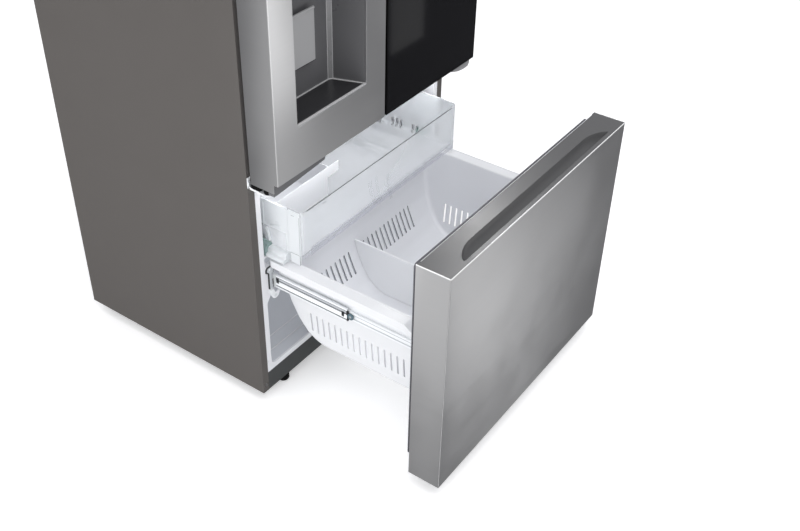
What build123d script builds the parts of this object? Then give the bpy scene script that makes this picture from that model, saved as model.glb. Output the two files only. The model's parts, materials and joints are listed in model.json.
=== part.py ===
from build123d import *
import math
import os

os.makedirs("parts", exist_ok=True)

# ------------------------------------------------------------------
# French-door refrigerator with a bottom freezer drawer, drawn out.
# Millimetres, +Z up, +X to the right of someone facing it.
# Below, y is counted from the front plane of the cabinet: minus y is
# towards the person, plus y is towards the wall.  Y_SHIFT moves that
# plane so that the origin is the middle of the foot print.
# ------------------------------------------------------------------
CASE_W = 908.0          # cabinet width
CASE_D = 740.0          # cabinet depth without the doors
CASE_Z0 = 40.0          # underside of the steel wrap
CASE_Z1 = 1755.0        # top of the steel wrap
TOTAL_H = 1787.0        # top of the hinge covers
SHEET = 1.0             # steel sheet
FRONT_W = 912.0         # width across the doors and the drawer front
FRONT_GAP = 6.0         # gap between the two doors
FLANGE_X = 429.0        # inner edge of the steel front flange
OPEN_X = 410.0          # half width of the freezer opening
DRAWER_OUT = 509.5      # how far the drawer stands out in this pose
DRAWER_BACK = -527.0    # back plane of the drawer front
DRAWER_T = 99.0         # thickness of the drawer front
DRAWER_Z0 = 48.0
DRAWER_Z1 = 768.0
DOOR_T = 93.0
DOOR_Y0 = -108.0        # front plane of the doors
DOOR_Y1 = -15.0         # back plane of the doors, where the gasket sits
DOOR_Z0 = 816.0         # bottom edge of the door skins
DOOR_Z1 = 1752.0
HINGE_X = 440.0         # hinge pins
HINGE_Y = -60.0
TRAY_OUT = 130.0        # how far the upper tray follows
PIN_R = 5.0             # lower hinge pin
TOP_PIN_R = 6.0
RUN = 0.06              # radial running clearance
Y_SHIFT = -(CASE_D + DRAWER_BACK - DRAWER_T) / 2.0

HW = CASE_W / 2.0
FW = FRONT_W / 2.0
DY0 = DRAWER_BACK - DRAWER_T    # front plane of the drawer front


def blk(x0, x1, y0, y1, z0, z1, mode=Mode.ADD):
    """A block between two corners, y from the cabinet's front plane."""
    with Locations(((x0 + x1) / 2, (y0 + y1) / 2 + Y_SHIFT, (z0 + z1) / 2)):
        Box(abs(x1 - x0), abs(y1 - y0), abs(z1 - z0), mode=mode)


def rod_x(x0, x1, y, z, r, mode=Mode.ADD):
    with Locations(((x0 + x1) / 2, y + Y_SHIFT, z)):
        Cylinder(r, abs(x1 - x0), rotation=(0, 90, 0), mode=mode)


def rod_y(y0, y1, x, z, r, mode=Mode.ADD):
    with Locations((x, (y0 + y1) / 2 + Y_SHIFT, z)):
        Cylinder(r, abs(y1 - y0), rotation=(90, 0, 0), mode=mode)


def rod_z(z0, z1, x, y, r, mode=Mode.ADD):
    with Locations((x, y + Y_SHIFT, (z0 + z1) / 2)):
        Cylinder(r, abs(z1 - z0), mode=mode)


def face_plane(y):
    """Sketch (x, z) seen from the front; extrudes towards the person."""
    return Plane(origin=(0, y + Y_SHIFT, 0), x_dir=(1, 0, 0), z_dir=(0, -1, 0))


def side_plane(x):
    """Sketch (y, z); extrudes towards +X."""
    return Plane(origin=(x, Y_SHIFT, 0), x_dir=(0, 1, 0), z_dir=(1, 0, 0))


def level_plane(z):
    """Sketch (x, y); extrudes upwards."""
    return Plane(origin=(0, Y_SHIFT, z), x_dir=(1, 0, 0), z_dir=(0, 0, 1))


# ============================ cabinet =============================
# Steel wrap: two sides and a top, with flanges turned in at the front
with BuildPart() as cabinet_shell:
    for s in (-1, 1):
        blk(s * (HW - SHEET), s * HW, 0, CASE_D, CASE_Z0, CASE_Z1)
        blk(s * FLANGE_X, s * (HW - SHEET), 0, SHEET, CASE_Z0, CASE_Z1 - SHEET)
        blk(s * 438, s * (HW - SHEET), CASE_D - 2 * SHEET, CASE_D - SHEET, 331, CASE_Z1 - SHEET)
        blk(s * 438, s * (HW - SHEET), SHEET, CASE_D - 2 * SHEET, CASE_Z0, CASE_Z0 + SHEET)
    blk(-(HW - SHEET), HW - SHEET, 0, CASE_D, CASE_Z1 - SHEET, CASE_Z1)
    blk(-FLANGE_X, FLANGE_X, 0, SHEET, 1730, CASE_Z1 - SHEET)
cabinet_shell.part.label = "cabinet_shell"
export_step(cabinet_shell.part, "parts/cabinet_shell.step")

with BuildPart() as cabinet_back_panel:
    blk(-(HW - SHEET), HW - SHEET, CASE_D - SHEET, CASE_D, 331, CASE_Z1 - SHEET)
    with BuildSketch(face_plane(CASE_D)):
        with Locations((0, 700)):
            with GridLocations(120, 300, 5, 2):
                Rectangle(70, 6)
    extrude(amount=SHEET * 0.4, mode=Mode.SUBTRACT)
cabinet_back_panel.part.label = "cabinet_back_panel"
export_step(cabinet_back_panel.part, "parts/cabinet_back_panel.step")

# Dark channel across the bottom of the front
with BuildPart() as base_rail:
    blk(-FLANGE_X, FLANGE_X, 0, 1.2, CASE_Z0, 107)
    blk(-FLANGE_X, FLANGE_X, 1.2, 56, CASE_Z0, CASE_Z0 + 1.2)
    for s in (-1, 1):
        rod_z(CASE_Z0 - 1, CASE_Z0 + 3, s * 334, 28, 6.2, mode=Mode.SUBTRACT)
base_rail.part.label = "base_rail"
export_step(base_rail.part, "parts/base_rail.step")

# Cross rail between the fresh-food and the freezer openings
with BuildPart() as centre_rail:
    blk(-FLANGE_X, FLANGE_X, 0, 2.0, 742, 826)
centre_rail.part.label = "centre_rail"
export_step(centre_rail.part, "parts/centre_rail.step")

# Sheet under the compartments, stepped down for the machine space
ROLL_X, ROLL_Y, ROLL_R = 390.0, 690.0, 26.0
with BuildPart() as base_pan:
    blk(-(HW - SHEET), HW - SHEET, 2.6, 482, 58, 60)
    blk(-(HW - SHEET), HW - SHEET, 480, 482, 46, 58)
    blk(-(HW - SHEET), HW - SHEET, 480, 736, 46, 48)
    for s in (-1, 1):
        blk(s * (ROLL_X - 12.5), s * (ROLL_X + 12.5), ROLL_Y - 30, ROLL_Y + 30, 45, 49, mode=Mode.SUBTRACT)
        blk(s * (ROLL_X - 16), s * (ROLL_X - 13.5), ROLL_Y - 32, ROLL_Y + 32, 14, 46)
        blk(s * (ROLL_X + 13.5), s * (ROLL_X + 16), ROLL_Y - 32, ROLL_Y + 32, 14, 46)
        rod_x(s * (ROLL_X - 16), s * (ROLL_X + 16), ROLL_Y, ROLL_R, 4.0)
base_pan.part.label = "base_pan"
export_step(base_pan.part, "parts/base_pan.step")

with BuildPart() as rear_rollers:
    for s in (-1, 1):
        rod_x(s * (ROLL_X - 11.5), s * (ROLL_X + 11.5), ROLL_Y, ROLL_R, ROLL_R)
        rod_x(s * (ROLL_X - 13), s * (ROLL_X + 13), ROLL_Y, ROLL_R, 8.0)
        rod_x(s * (ROLL_X - 14), s * (ROLL_X + 14), ROLL_Y, ROLL_R, 4.0 + RUN, mode=Mode.SUBTRACT)
rear_rollers.part.label = "rear_rollers"
export_step(rear_rollers.part, "parts/rear_rollers.step")

# Screw feet under the front corners
with BuildPart() as front_feet:
    for s in (-1, 1):
        with BuildSketch(level_plane(0)):
            with Locations((s * 334, 28)):
                RegularPolygon(16, 12)
        extrude(amount=5, taper=-28)
        with BuildSketch(level_plane(5)):
            with Locations((s * 334, 28)):
                RegularPolygon(18.5, 12)
        extrude(amount=17)
        rod_z(20, 58, s * 334, 28, 6.0)
front_feet.part.label = "front_feet"
export_step(front_feet.part, "parts/front_feet.step")

# Moulded liner of the fresh-food compartment with shelf ledges
with BuildPart() as fridge_liner:
    blk(-407, 407, 2, 652, 838, 1702)
    blk(-FLANGE_X, FLANGE_X, 0.2, 2, 826, 1730)
    blk(-405, 405, -1, 650, 840, 1700, mode=Mode.SUBTRACT)
    for s in (-1, 1):
        for zt in (963, 1086, 1290, 1490):
            blk(s * 390, s * 405, 130, 610, zt - 7, zt)
fridge_liner.part.label = "fridge_liner"
export_step(fridge_liner.part, "parts/fridge_liner.step")

# Moulded liner of the freezer: floor, hump over the machine space,
# rail pads on both sides and ledges that carry the upper tray
with BuildPart() as freezer_liner:
    with BuildSketch(side_plane(-OPEN_X - 2)):
        with BuildLine():
            Polyline((2, 124), (381.2, 124), (536.2, 388), (602, 388), (602, 732), (2, 732), close=True)
        make_face()
    extrude(amount=2 * OPEN_X + 4)
    blk(-FLANGE_X, FLANGE_X, 0.2, 2, 107, 742)
    with BuildSketch(side_plane(-OPEN_X)):
        with BuildLine():
            Polyline((-1, 126), (380, 126), (535, 390), (600, 390), (600, 730), (-1, 730), close=True)
        make_face()
    extrude(amount=2 * OPEN_X, mode=Mode.SUBTRACT)
    for s in (-1, 1):
        blk(s * 385, s * OPEN_X, 1.0, 521, 369, 482)
        blk(s * 378, s * OPEN_X, 4, 500, 512, 518)
        rod_y(-0.8, 2, s * 393, 394, 9)
freezer_liner.part.label = "freezer_liner"
export_step(freezer_liner.part, "parts/freezer_liner.step")

# Foamed insulation, one block with the two compartments in it
with BuildPart() as cabinet_foam:
    with BuildSketch(side_plane(-(HW - SHEET))):
        with BuildLine():
            Polyline((2.6, 60), (420, 60), (575, 340), (CASE_D - 2, 340), (CASE_D - 2, CASE_Z1 - SHEET), (2.6, CASE_Z1 - SHEET), close=True)
        make_face()
    extrude(amount=2 * (HW - SHEET))
    blk(-407, 407, 2, 652, 838, 1702, mode=Mode.SUBTRACT)
    with BuildSketch(side_plane(-OPEN_X - 2)):
        with BuildLine():
            Polyline((2, 124), (381.2, 124), (536.2, 388), (602, 388), (602, 732), (2, 732), close=True)
        make_face()
    extrude(amount=2 * OPEN_X + 4, mode=Mode.SUBTRACT)
cabinet_foam.part.label = "cabinet_foam"
export_step(cabinet_foam.part, "parts/cabinet_foam.step")

# Grille in front of the cooling coil, with groups of slots
with BuildPart() as evaporator_cover:
    blk(-409.5, 409.5, 528, 531, 390.5, 729.5)
    with BuildSketch(face_plane(532)):
        for xc in (-250, 0, 250):
            for zc in (450, 660):
                with Locations((xc, zc)):
                    with GridLocations(20, 1, 7, 1):
                        SlotOverall(48, 6, rotation=90)
    extrude(amount=5, mode=Mode.SUBTRACT)
evaporator_cover.part.label = "evaporator_cover"
export_step(evaporator_cover.part, "parts/evaporator_cover.step")

with BuildPart() as evaporator_coil:
    for i in range(22):
        x = -294 + 28 * i
        blk(x - 0.5, x + 0.5, 548, 590, 402, 600)
    for z in (425, 465, 505, 545, 580):
        rod_x(-310, 310, 569, z, 4.5)
    for i, z in enumerate((425, 465, 505, 545)):
        e = 306 if i % 2 == 0 else -306
        rod_z(z, (465, 505, 545, 580)[i], e, 569, 4.0)
evaporator_coil.part.label = "evaporator_coil"
export_step(evaporator_coil.part, "parts/evaporator_coil.step")

EF_Z = 664.0
CF_Y, CF_Z = 610.0, 150.0
with BuildPart() as fan_motors:
    rod_y(580, 600, 0, EF_Z, 24)
    rod_y(556, 580, 0, EF_Z, 3)
    blk(-70, 70, 596, 600, EF_Z - 8, EF_Z + 8)
    rod_x(2, 40, CF_Y, CF_Z, 26)
    rod_x(-30, 2, CF_Y, CF_Z, 3)
    blk(14, 28, CF_Y - 20, CF_Y + 20, 48, CF_Z)
fan_motors.part.label = "fan_motors"
export_step(fan_motors.part, "parts/fan_motors.step")

with BuildPart() as evaporator_fan:
    rod_y(554, 577, 0, EF_Z, 16)
    for i in range(5):
        a = math.radians(72 * i)
        with Locations(Location((34 * math.cos(a), 565.5 + Y_SHIFT, EF_Z + 34 * math.sin(a)), (0, -72 * i, 0))):
            Box(42, 2.2, 20, rotation=(38, 0, 0))
    rod_y(556, 578, 0, EF_Z, 3 + RUN, mode=Mode.SUBTRACT)
evaporator_fan.part.label = "evaporator_fan"
export_step(evaporator_fan.part, "parts/evaporator_fan.step")

with BuildPart() as condenser_fan:
    rod_x(-32, -2, CF_Y, CF_Z, 20)
    for i in range(5):
        a = math.radians(72 * i)
        with Locations(Location((-17, CF_Y + Y_SHIFT + 44 * math.cos(a), CF_Z + 44 * math.sin(a)), (72 * i, 0, 0))):
            Box(2.2, 56, 26, rotation=(0, 34, 0))
    rod_x(-30, 0, CF_Y, CF_Z, 3 + RUN, mode=Mode.SUBTRACT)
condenser_fan.part.label = "condenser_fan"
export_step(condenser_fan.part, "parts/condenser_fan.step")

# Cold-air duct up the back of the fresh-food compartment
with BuildPart() as air_duct_cover:
    blk(-135, 135, 640, 650, 900, 1660)
    with BuildSketch(face_plane(641)):
        for zc in (1180, 1380, 1560):
            with Locations((0, zc)):
                with GridLocations(22, 1, 8, 1):
                    SlotOverall(52, 7, rotation=90)
    extrude(amount=3, mode=Mode.SUBTRACT)
air_duct_cover.part.label = "air_duct_cover"
export_step(air_duct_cover.part, "parts/air_duct_cover.step")

with BuildPart() as compressor:
    rod_z(74, 212, -250, 620, 78)
    fillet(compressor.edges().filter_by(GeomType.CIRCLE), 30)
    blk(-345, -155, 560, 680, 64, 68)
    rod_z(66, 80, -250, 620, 60)
    for dx in (-82, 82):
        for dy in (-48, 48):
            rod_z(48, 66, -250 + dx, 620 + dy, 11)
    blk(-178, -150, 600, 640, 110, 160)
compressor.part.label = "compressor"
export_step(compressor.part, "parts/compressor.step")

with BuildPart() as condenser_coil:
    for i in range(12):
        x = 80 + 20 * i
        blk(x - 0.5, x + 0.5, 560, 670, 48, 228)
    for z in (70, 105, 140, 175, 210):
        rod_x(72, 308, 590, z, 4)
        rod_x(72, 308, 640, z, 4)
        rod_y(590, 640, 306, z, 3.5)
condenser_coil.part.label = "condenser_coil"
export_step(condenser_coil.part, "parts/condenser_coil.step")

with BuildPart() as machine_room_cover:
    blk(-(HW - SHEET), HW - SHEET, 736, 737.5, 42, 330)
    with BuildSketch(face_plane(738.5)):
        for xc in (-250, 150):
            with Locations((xc, 150)):
                with GridLocations(1, 20, 1, 8):
                    SlotOverall(220, 8)
        with Locations((385, 255)):
            Rectangle(38.4, 22.4)
    extrude(amount=4, mode=Mode.SUBTRACT)
machine_room_cover.part.label = "machine_room_cover"
export_step(machine_room_cover.part, "parts/machine_room_cover.step")

# Appliance inlet in the rear grille: the lead itself is not part of this
with BuildPart() as power_inlet:
    blk(366, 404, 712, 738, 244, 266)
    blk(360, 410, 737.5, 740, 238, 272)
    blk(371, 399, 720, 741, 248, 262, mode=Mode.SUBTRACT)
    for x, z in ((378, 253), (385, 258), (392, 253)):
        blk(x - 1, x + 1, 719, 734, z - 2, z + 2)
power_inlet.part.label = "power_inlet"
export_step(power_inlet.part, "parts/power_inlet.step")

# ============================ hinges ==============================
with BuildPart() as top_hinge_covers:
    for s in (-1, 1):
        with BuildSketch(level_plane(CASE_Z1)):
            with Locations((s * 421, 17)):
                RectangleRounded(64, 202, 10)
        extrude(amount=TOTAL_H - CASE_Z1)
    fillet(top_hinge_covers.faces().sort_by(Axis.Z)[-1].edges() + top_hinge_covers.faces().sort_by(Axis.Z)[-2].edges(), 4)
    for s in (-1, 1):
        blk(s * 421 - 29.4, s * 421 + 29.4, -81.5, 115.5, CASE_Z1 - 1, TOTAL_H - 3, mode=Mode.SUBTRACT)
        blk(s * 421 - 31.6, s * 421 + 31.6, -80, 112, CASE_Z1 - 1, CASE_Z1 + 5, mode=Mode.SUBTRACT)
top_hinge_covers.part.label = "top_hinge_covers"
export_step(top_hinge_covers.part, "parts/top_hinge_covers.step")

# Hinge plates with their pins: lower pair bent up against the rail, upper
# pair screwed on the top
with BuildPart() as hinge_brackets:
    for s in (-1, 1):
        blk(s * HW, s * 418, -78, 0, 770, 773)
        blk(s * 452, s * 418, -3, 0, 770, 802)
        rod_z(770, 806, s * HINGE_X, HINGE_Y, PIN_R)
    fillet(hinge_brackets.edges().filter_by(Axis.Z).group_by(Axis.Y)[0], 8)
    for s in (-1, 1):
        blk(s * 452, s * 425, -78, 108, CASE_Z1, CASE_Z1 + 4)
        blk(s * 425, s * 396, 30, 108, CASE_Z1, CASE_Z1 + 4)
        rod_z(DOOR_Z1 - 7.4, CASE_Z1 + 10, s * HINGE_X, HINGE_Y, TOP_PIN_R)
        for x, y in ((439, 45), (410, 60), (439, 92)):
            rod_z(CASE_Z1 + 4, CASE_Z1 + 8, s * x, y, 6)
hinge_brackets.part.label = "hinge_brackets"
export_step(hinge_brackets.part, "parts/hinge_brackets.step")

with BuildPart() as hinge_washers:
    for s in (-1, 1):
        rod_z(773.1, 789.6, s * HINGE_X, HINGE_Y, 12)
        rod_z(772, 791, s * HINGE_X, HINGE_Y, PIN_R + 0.3, mode=Mode.SUBTRACT)
hinge_washers.part.label = "hinge_washers"
export_step(hinge_washers.part, "parts/hinge_washers.step")

# ==================== fresh-food compartment ======================
with BuildPart() as fridge_shelves:
    for z in (1290, 1490):
        blk(-403, 403, 140, 600, z, z + 5)
fridge_shelves.part.label = "fridge_shelves"
export_step(fridge_shelves.part, "parts/fridge_shelves.step")

with BuildPart() as crisper_cover:
    blk(-403, 403, 140, 600, 1086, 1091)
    blk(-3, 3, 150, 600, 963, 1086)
    blk(-16, 16, 150, 600, 960, 963)
crisper_cover.part.label = "crisper_cover"
export_step(crisper_cover.part, "parts/crisper_cover.step")

CRISPER_Y = 205.0
with BuildPart() as crisper_left:
    blk(-401, -7, CRISPER_Y, 590, 963.6, 1078)
    blk(-398, -10, CRISPER_Y + 4, 587, 966.6, 1080, mode=Mode.SUBTRACT)
    blk(-300, -108, CRISPER_Y - 1, CRISPER_Y + 2, 1052, 1070, mode=Mode.SUBTRACT)
crisper_left.part.label = "crisper_left"
export_step(crisper_left.part, "parts/crisper_left.step")

with BuildPart() as crisper_right:
    blk(7, 401, CRISPER_Y, 590, 963.6, 1078)
    blk(10, 398, CRISPER_Y + 4, 587, 966.6, 1080, mode=Mode.SUBTRACT)
    blk(108, 300, CRISPER_Y - 1, CRISPER_Y + 2, 1052, 1070, mode=Mode.SUBTRACT)
crisper_right.part.label = "crisper_right"
export_step(crisper_right.part, "parts/crisper_right.step")

with BuildPart() as pantry_drawer:
    blk(-401, 401, CRISPER_Y, 590, 840.6, 946)
    blk(-398, 398, CRISPER_Y + 4, 587, 843.6, 948, mode=Mode.SUBTRACT)
    blk(-160, 160, CRISPER_Y - 1, CRISPER_Y + 2, 920, 938, mode=Mode.SUBTRACT)
pantry_drawer.part.label = "pantry_drawer"
export_step(pantry_drawer.part, "parts/pantry_drawer.step")

# ==================== telescopic drawer rails =====================
RZ0, RZ1 = 402.0, 452.0
MID_Y0, MID_L = -262.0, 500.0
with BuildPart() as rail_cabinet_members:
    for s in (-1, 1):
        blk(s * 385, s * 383.4, 1, 521, RZ0, RZ1)
        blk(s * 383.4, s * 374, 1, 521, RZ0, RZ0 + 1.6)
        blk(s * 383.4, s * 374, 1, 521, RZ1 - 1.6, RZ1)
rail_cabinet_members.part.label = "rail_cabinet_members"
export_step(rail_cabinet_members.part, "parts/rail_cabinet_members.step")

with BuildPart() as rail_brackets:
    for s in (-1, 1):
        blk(s * 408, s * 383.4, -1.2, 1.0, 462, 481)
        blk(s * 397, s * 383.4, -1.2, 1.0, 404, 462)
    fillet(rail_brackets.edges().filter_by(Axis.Y), 2)
rail_brackets.part.label = "rail_brackets"
export_step(rail_brackets.part, "parts/rail_brackets.step")

with BuildPart() as rail_middle_members:
    for s in (-1, 1):
        blk(s * 382.6, s * 375.4, MID_Y0, MID_Y0 + MID_L, RZ0 + 2.8, RZ1 - 2.8)
        blk(s * 380.6, s * 375.0, MID_Y0 - 1, MID_Y0 + MID_L + 1, RZ0 + 9, RZ1 - 9, mode=Mode.SUBTRACT)
rail_middle_members.part.label = "rail_middle_members"
export_step(rail_middle_members.part, "parts/rail_middle_members.step")

# Black end clips and rollers at the front end of the middle members
with BuildPart() as rail_clips:
    for s in (-1, 1):
        blk(s * 375.4, s * 373.2, MID_Y0 + 6, MID_Y0 + 18, RZ1 - 8.6, RZ1 - 3)
        blk(s * 375.4, s * 373.2, MID_Y0 + 6, MID_Y0 + 18, RZ0 + 3, RZ0 + 8.6)
        rod_x(s * 382.6, s * 377.8, MID_Y0 - 11, (RZ0 + RZ1) / 2, 10)
        blk(s * 382.6, s * 381, MID_Y0 - 6, MID_Y0, RZ0 + 16, RZ1 - 16)
rail_clips.part.label = "rail_clips"
export_step(rail_clips.part, "parts/rail_clips.step")

DRAWER_IN = -513.0      # back of the drawer's inner panel
with BuildPart() as rail_drawer_members:
    for s in (-1, 1):
        blk(s * 377, s * 366, DRAWER_IN, -12, RZ0 + 10, RZ1 - 10)
        blk(s * 375, s * 365, DRAWER_IN - 1, -11, RZ0 + 12, RZ1 - 12, mode=Mode.SUBTRACT)
        blk(s * 370.6, s * 369, DRAWER_IN, -12, RZ1 - 10, 506)
        blk(s * 377, s * 366, DRAWER_IN, DRAWER_IN + 2, RZ0, RZ1 - 10)
rail_drawer_members.part.label = "rail_drawer_members"
export_step(rail_drawer_members.part, "parts/rail_drawer_members.step")

# ======================= freezer drawer ===========================
# Stainless skin of the drawer front, turned back at both sides
with BuildPart() as drawer_panel:
    with BuildSketch(level_plane(DRAWER_Z0)):
        with BuildLine():
            Polyline((-FW, DRAWER_BACK), (-FW, DY0), (FW, DY0), (FW, DRAWER_BACK), (FW - SHEET, DRAWER_BACK),
                     (FW - SHEET, DY0 + SHEET), (-FW + SHEET, DY0 + SHEET), (-FW + SHEET, DRAWER_BACK), close=True)
        make_face()
    extrude(amount=DRAWER_Z1 - DRAWER_Z0)
    fillet(drawer_panel.edges().filter_by(Axis.Z).group_by(Axis.Y)[0], 2.4)
drawer_panel.part.label = "drawer_panel"
export_step(drawer_panel.part, "parts/drawer_panel.step")

# Plastic caps: the hand pocket is let into the upper one
PKT_F, PKT_B = DY0 + 15.0, DY0 + 51.0
with BuildPart() as drawer_caps:
    blk(-FW + SHEET, FW - SHEET, DY0 + SHEET, DRAWER_BACK, 722, DRAWER_Z1)
    with BuildSketch(level_plane(732)):
        with BuildLine():
            l1 = Line((378, PKT_F), (-378, PKT_F))
            l2 = TangentArc((-378, PKT_F), (-352, PKT_B - 14), tangent=(0.25, 1))
            l3 = TangentArc((-352, PKT_B - 14), (-292, PKT_B), tangent=l2 % 1)
            l4 = Line((-292, PKT_B), (292, PKT_B))
            l5 = TangentArc((378, PKT_F), (352, PKT_B - 14), tangent=(-0.25, 1))
            l6 = TangentArc((352, PKT_B - 14), (292, PKT_B), tangent=l5 % 1)
        make_face()
    extrude(amount=DRAWER_Z1 - 732, mode=Mode.SUBTRACT)
    blk(-360, 360, DY0 + 8, PKT_F + 4, 736, 756, mode=Mode.SUBTRACT)
    blk(-FW + SHEET, FW - SHEET, DY0 + SHEET, DRAWER_BACK, DRAWER_Z0, DRAWER_Z0 + 18)
    blk(-FW + 12, FW - 12, DY0 + 14, DRAWER_BACK - 12, DRAWER_Z0 - 1, DRAWER_Z0 + 5, mode=Mode.SUBTRACT)
drawer_caps.part.label = "drawer_caps"
export_step(drawer_caps.part, "parts/drawer_caps.step")

with BuildPart() as drawer_foam:
    blk(-FW + SHEET, FW - SHEET, DY0 + SHEET, DRAWER_BACK, DRAWER_Z0 + 18, 722)
drawer_foam.part.label = "drawer_foam"
export_step(drawer_foam.part, "parts/drawer_foam.step")

with BuildPart() as drawer_inner_panel:
    blk(-FW + 2, FW - 2, DRAWER_BACK, DRAWER_BACK + 1.5, DRAWER_Z0 + 2, DRAWER_Z1 - 2)
    blk(-424, 424, DRAWER_BACK + 1.5, DRAWER_IN, 114, 734)
    blk(-422, 422, DRAWER_BACK - 1, DRAWER_IN - 2, 116, 732, mode=Mode.SUBTRACT)
drawer_inner_panel.part.label = "drawer_inner_panel"
export_step(drawer_inner_panel.part, "parts/drawer_inner_panel.step")

with BuildPart() as drawer_gasket:
    blk(-448, 448, DRAWER_BACK + 1.5, -510, 88, 760)
    blk(-428, 428, DRAWER_BACK, -509, 108, 740, mode=Mode.SUBTRACT)
drawer_gasket.part.label = "drawer_gasket"
export_step(drawer_gasket.part, "parts/drawer_gasket.step")

# Lower basket: moulded, drafted sides, back sloping over the hump
BASKET_OUT = [(-499, 506), (-493, 214), (-135, 214), (-105, 226), (-78, 247), (-50, 288), (-26, 345), (-14, 400), (-8, 506)]
BASKET_IN = [(-496.5, 512), (-490.5, 216.5), (-135.7, 216.5), (-106.4, 228.2), (-79.8, 249.1), (-52.3, 289.4), (-28.4, 346), (-16.5, 400.4), (-10.5, 512)]
with BuildPart(mode=Mode.PRIVATE) as basket_core:
    with BuildSketch(side_plane(-370)):
        with BuildLine():
            Polyline(*BASKET_IN, close=True)
        make_face()
    extrude(amount=740)
    with BuildSketch(face_plane(0)):
        with BuildLine():
            Polyline((-361.1, 512), (-335.5, 213), (335.5, 213), (361.1, 512), close=True)
        make_face()
    extrude(amount=520, mode=Mode.INTERSECT)
with BuildPart() as freezer_basket:
    with BuildSketch(side_plane(-370)):
        with BuildLine():
            Polyline(*BASKET_OUT, close=True)
        make_face()
    extrude(amount=740)
    with BuildSketch(face_plane(0)):
        with BuildLine():
            Polyline((-363.2, 507), (-338, 213), (338, 213), (363.2, 507), close=True)
        make_face()
    extrude(amount=520, mode=Mode.INTERSECT)
    blk(-400, 400, -503, -3, 506, 510)
    add(basket_core.part, mode=Mode.SUBTRACT)
    for s in (-1, 1):
        blk(s * 398, s * 400, -503, -3, 488, 506)
    with BuildSketch(side_plane(-372)):
        with Locations((-267, 299)):
            with GridLocations(21.5, 1, 16, 1):
                SlotOverall(70, 6, rotation=90)
    extrude(amount=744, mode=Mode.SUBTRACT)
    with BuildSketch(face_plane(0)):
        for x0, n in ((-224, 8), (2, 12)):
            for i in range(n):
                x = x0 + 21.5 * i
                top = 352
                low = max(352 - 14 - 20 * i, 282)
                with Locations((x, (top + low) / 2)):
                    SlotOverall(top - low, 7, rotation=90)
    extrude(amount=125, mode=Mode.SUBTRACT)
freezer_basket.part.label = "freezer_basket"
export_step(freezer_basket.part, "parts/freezer_basket.step")

with BuildPart() as basket_divider:
    with BuildSketch(side_plane(-36)):
        with BuildLine():
            Polyline((-490, 216.8), (-136, 216.8), (-107, 228.8), (-80.6, 249.8), (-53.2, 290), (-29.4, 346.4), (-22, 378), (-486, 378), close=True)
        make_face()
    extrude(amount=3)
basket_divider.part.label = "basket_divider"
export_step(basket_divider.part, "parts/basket_divider.step")

# Upper sliding tray, clear plastic
with BuildPart() as freezer_tray:
    with BuildSketch(side_plane(-373)):
        with BuildLine():
            Polyline((-110, 690), (-104, 548), (-92, 535), (300, 535), (300, 690), close=True)
        make_face()
    extrude(amount=746)
    with BuildSketch(side_plane(-370.5)):
        with BuildLine():
            Polyline((-107.4, 692), (-101.6, 549), (-91, 537.5), (297.5, 537.5), (297.5, 692), close=True)
        make_face()
    extrude(amount=741, mode=Mode.SUBTRACT)
    for s in (-1, 1):
        blk(s * 370.6, s * 376, -84, 298, 518.6, 545)
        blk(s * 376, s * 400, -84, 298, 518.6, 521.2)
        blk(s * 372.6, s * 376, -103, -62, 545, 690)
        blk(s * 373, s * 398, -84, 298, 604, 606.5)
        blk(s * 373, s * 378, -84, 298, 686, 690)
    with BuildSketch(side_plane(-380)):
        for y in (32, 49, 95, 112, 129, 176, 193, 210):
            with Locations((y, 552)):
                SlotOverall(28, 6, rotation=90)
    extrude(amount=760, mode=Mode.SUBTRACT)
freezer_tray.part.label = "freezer_tray"
export_step(freezer_tray.part, "parts/freezer_tray.step")

# Ice maker under the freezer ceiling, and its bin in the left of the tray
with BuildPart() as ice_maker:
    blk(-336, -126, 70, 250, 652, 729.8)
    blk(-326, -136, 82, 238, 651, 664, mode=Mode.SUBTRACT)
    blk(-126, -112, 90, 230, 690, 729.8)
ice_maker.part.label = "ice_maker"
export_step(ice_maker.part, "parts/ice_maker.step")

with BuildPart() as ice_bin:
    blk(-369, -84, 30, 292, 537.8, 640)
    blk(-84, -40, 30, 292, 609, 640)
    blk(-366.5, -86.5, 32.5, 289.5, 540.3, 641, mode=Mode.SUBTRACT)
    blk(-84, -42.5, 32.5, 289.5, 608, 637.5, mode=Mode.SUBTRACT)
ice_bin.part.label = "ice_bin"
export_step(ice_bin.part, "parts/ice_bin.step")

# ========================= left door ==============================
REC_X0, REC_X1 = -372.0, -88.0     # dispenser recess at the front
REC_Z0, REC_Z1 = 950.0, 1372.0
PANEL_Z1 = 1480.0                   # top of the control plate
DOOR_SIDE = [(DOOR_Y0 + SHEET, DOOR_Z1), (DOOR_Y1, DOOR_Z1), (DOOR_Y1, 791), (-94, 790), (-94, DOOR_Z0), (DOOR_Y0 + SHEET, DOOR_Z0)]
with BuildPart() as left_door_panel:
    blk(-FW, -FRONT_GAP / 2, DOOR_Y0, DOOR_Y0 + SHEET, DOOR_Z0, DOOR_Z1)
    with BuildSketch(side_plane(-FW)):
        with BuildLine():
            Polyline(*DOOR_SIDE, close=True)
        make_face()
    extrude(amount=SHEET)
    blk(-FRONT_GAP / 2 - SHEET, -FRONT_GAP / 2, DOOR_Y0 + SHEET, DOOR_Y1, DOOR_Z0, DOOR_Z1)
    fillet(left_door_panel.edges().filter_by(Axis.Z).group_by(Axis.Y)[0], 2.4)
    blk(REC_X0, REC_X1, DOOR_Y0 - 1, DOOR_Y0 + 5, REC_Z0 - 2, PANEL_Z1, mode=Mode.SUBTRACT)
left_door_panel.part.label = "left_door_panel"
export_step(left_door_panel.part, "parts/left_door_panel.step")

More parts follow.
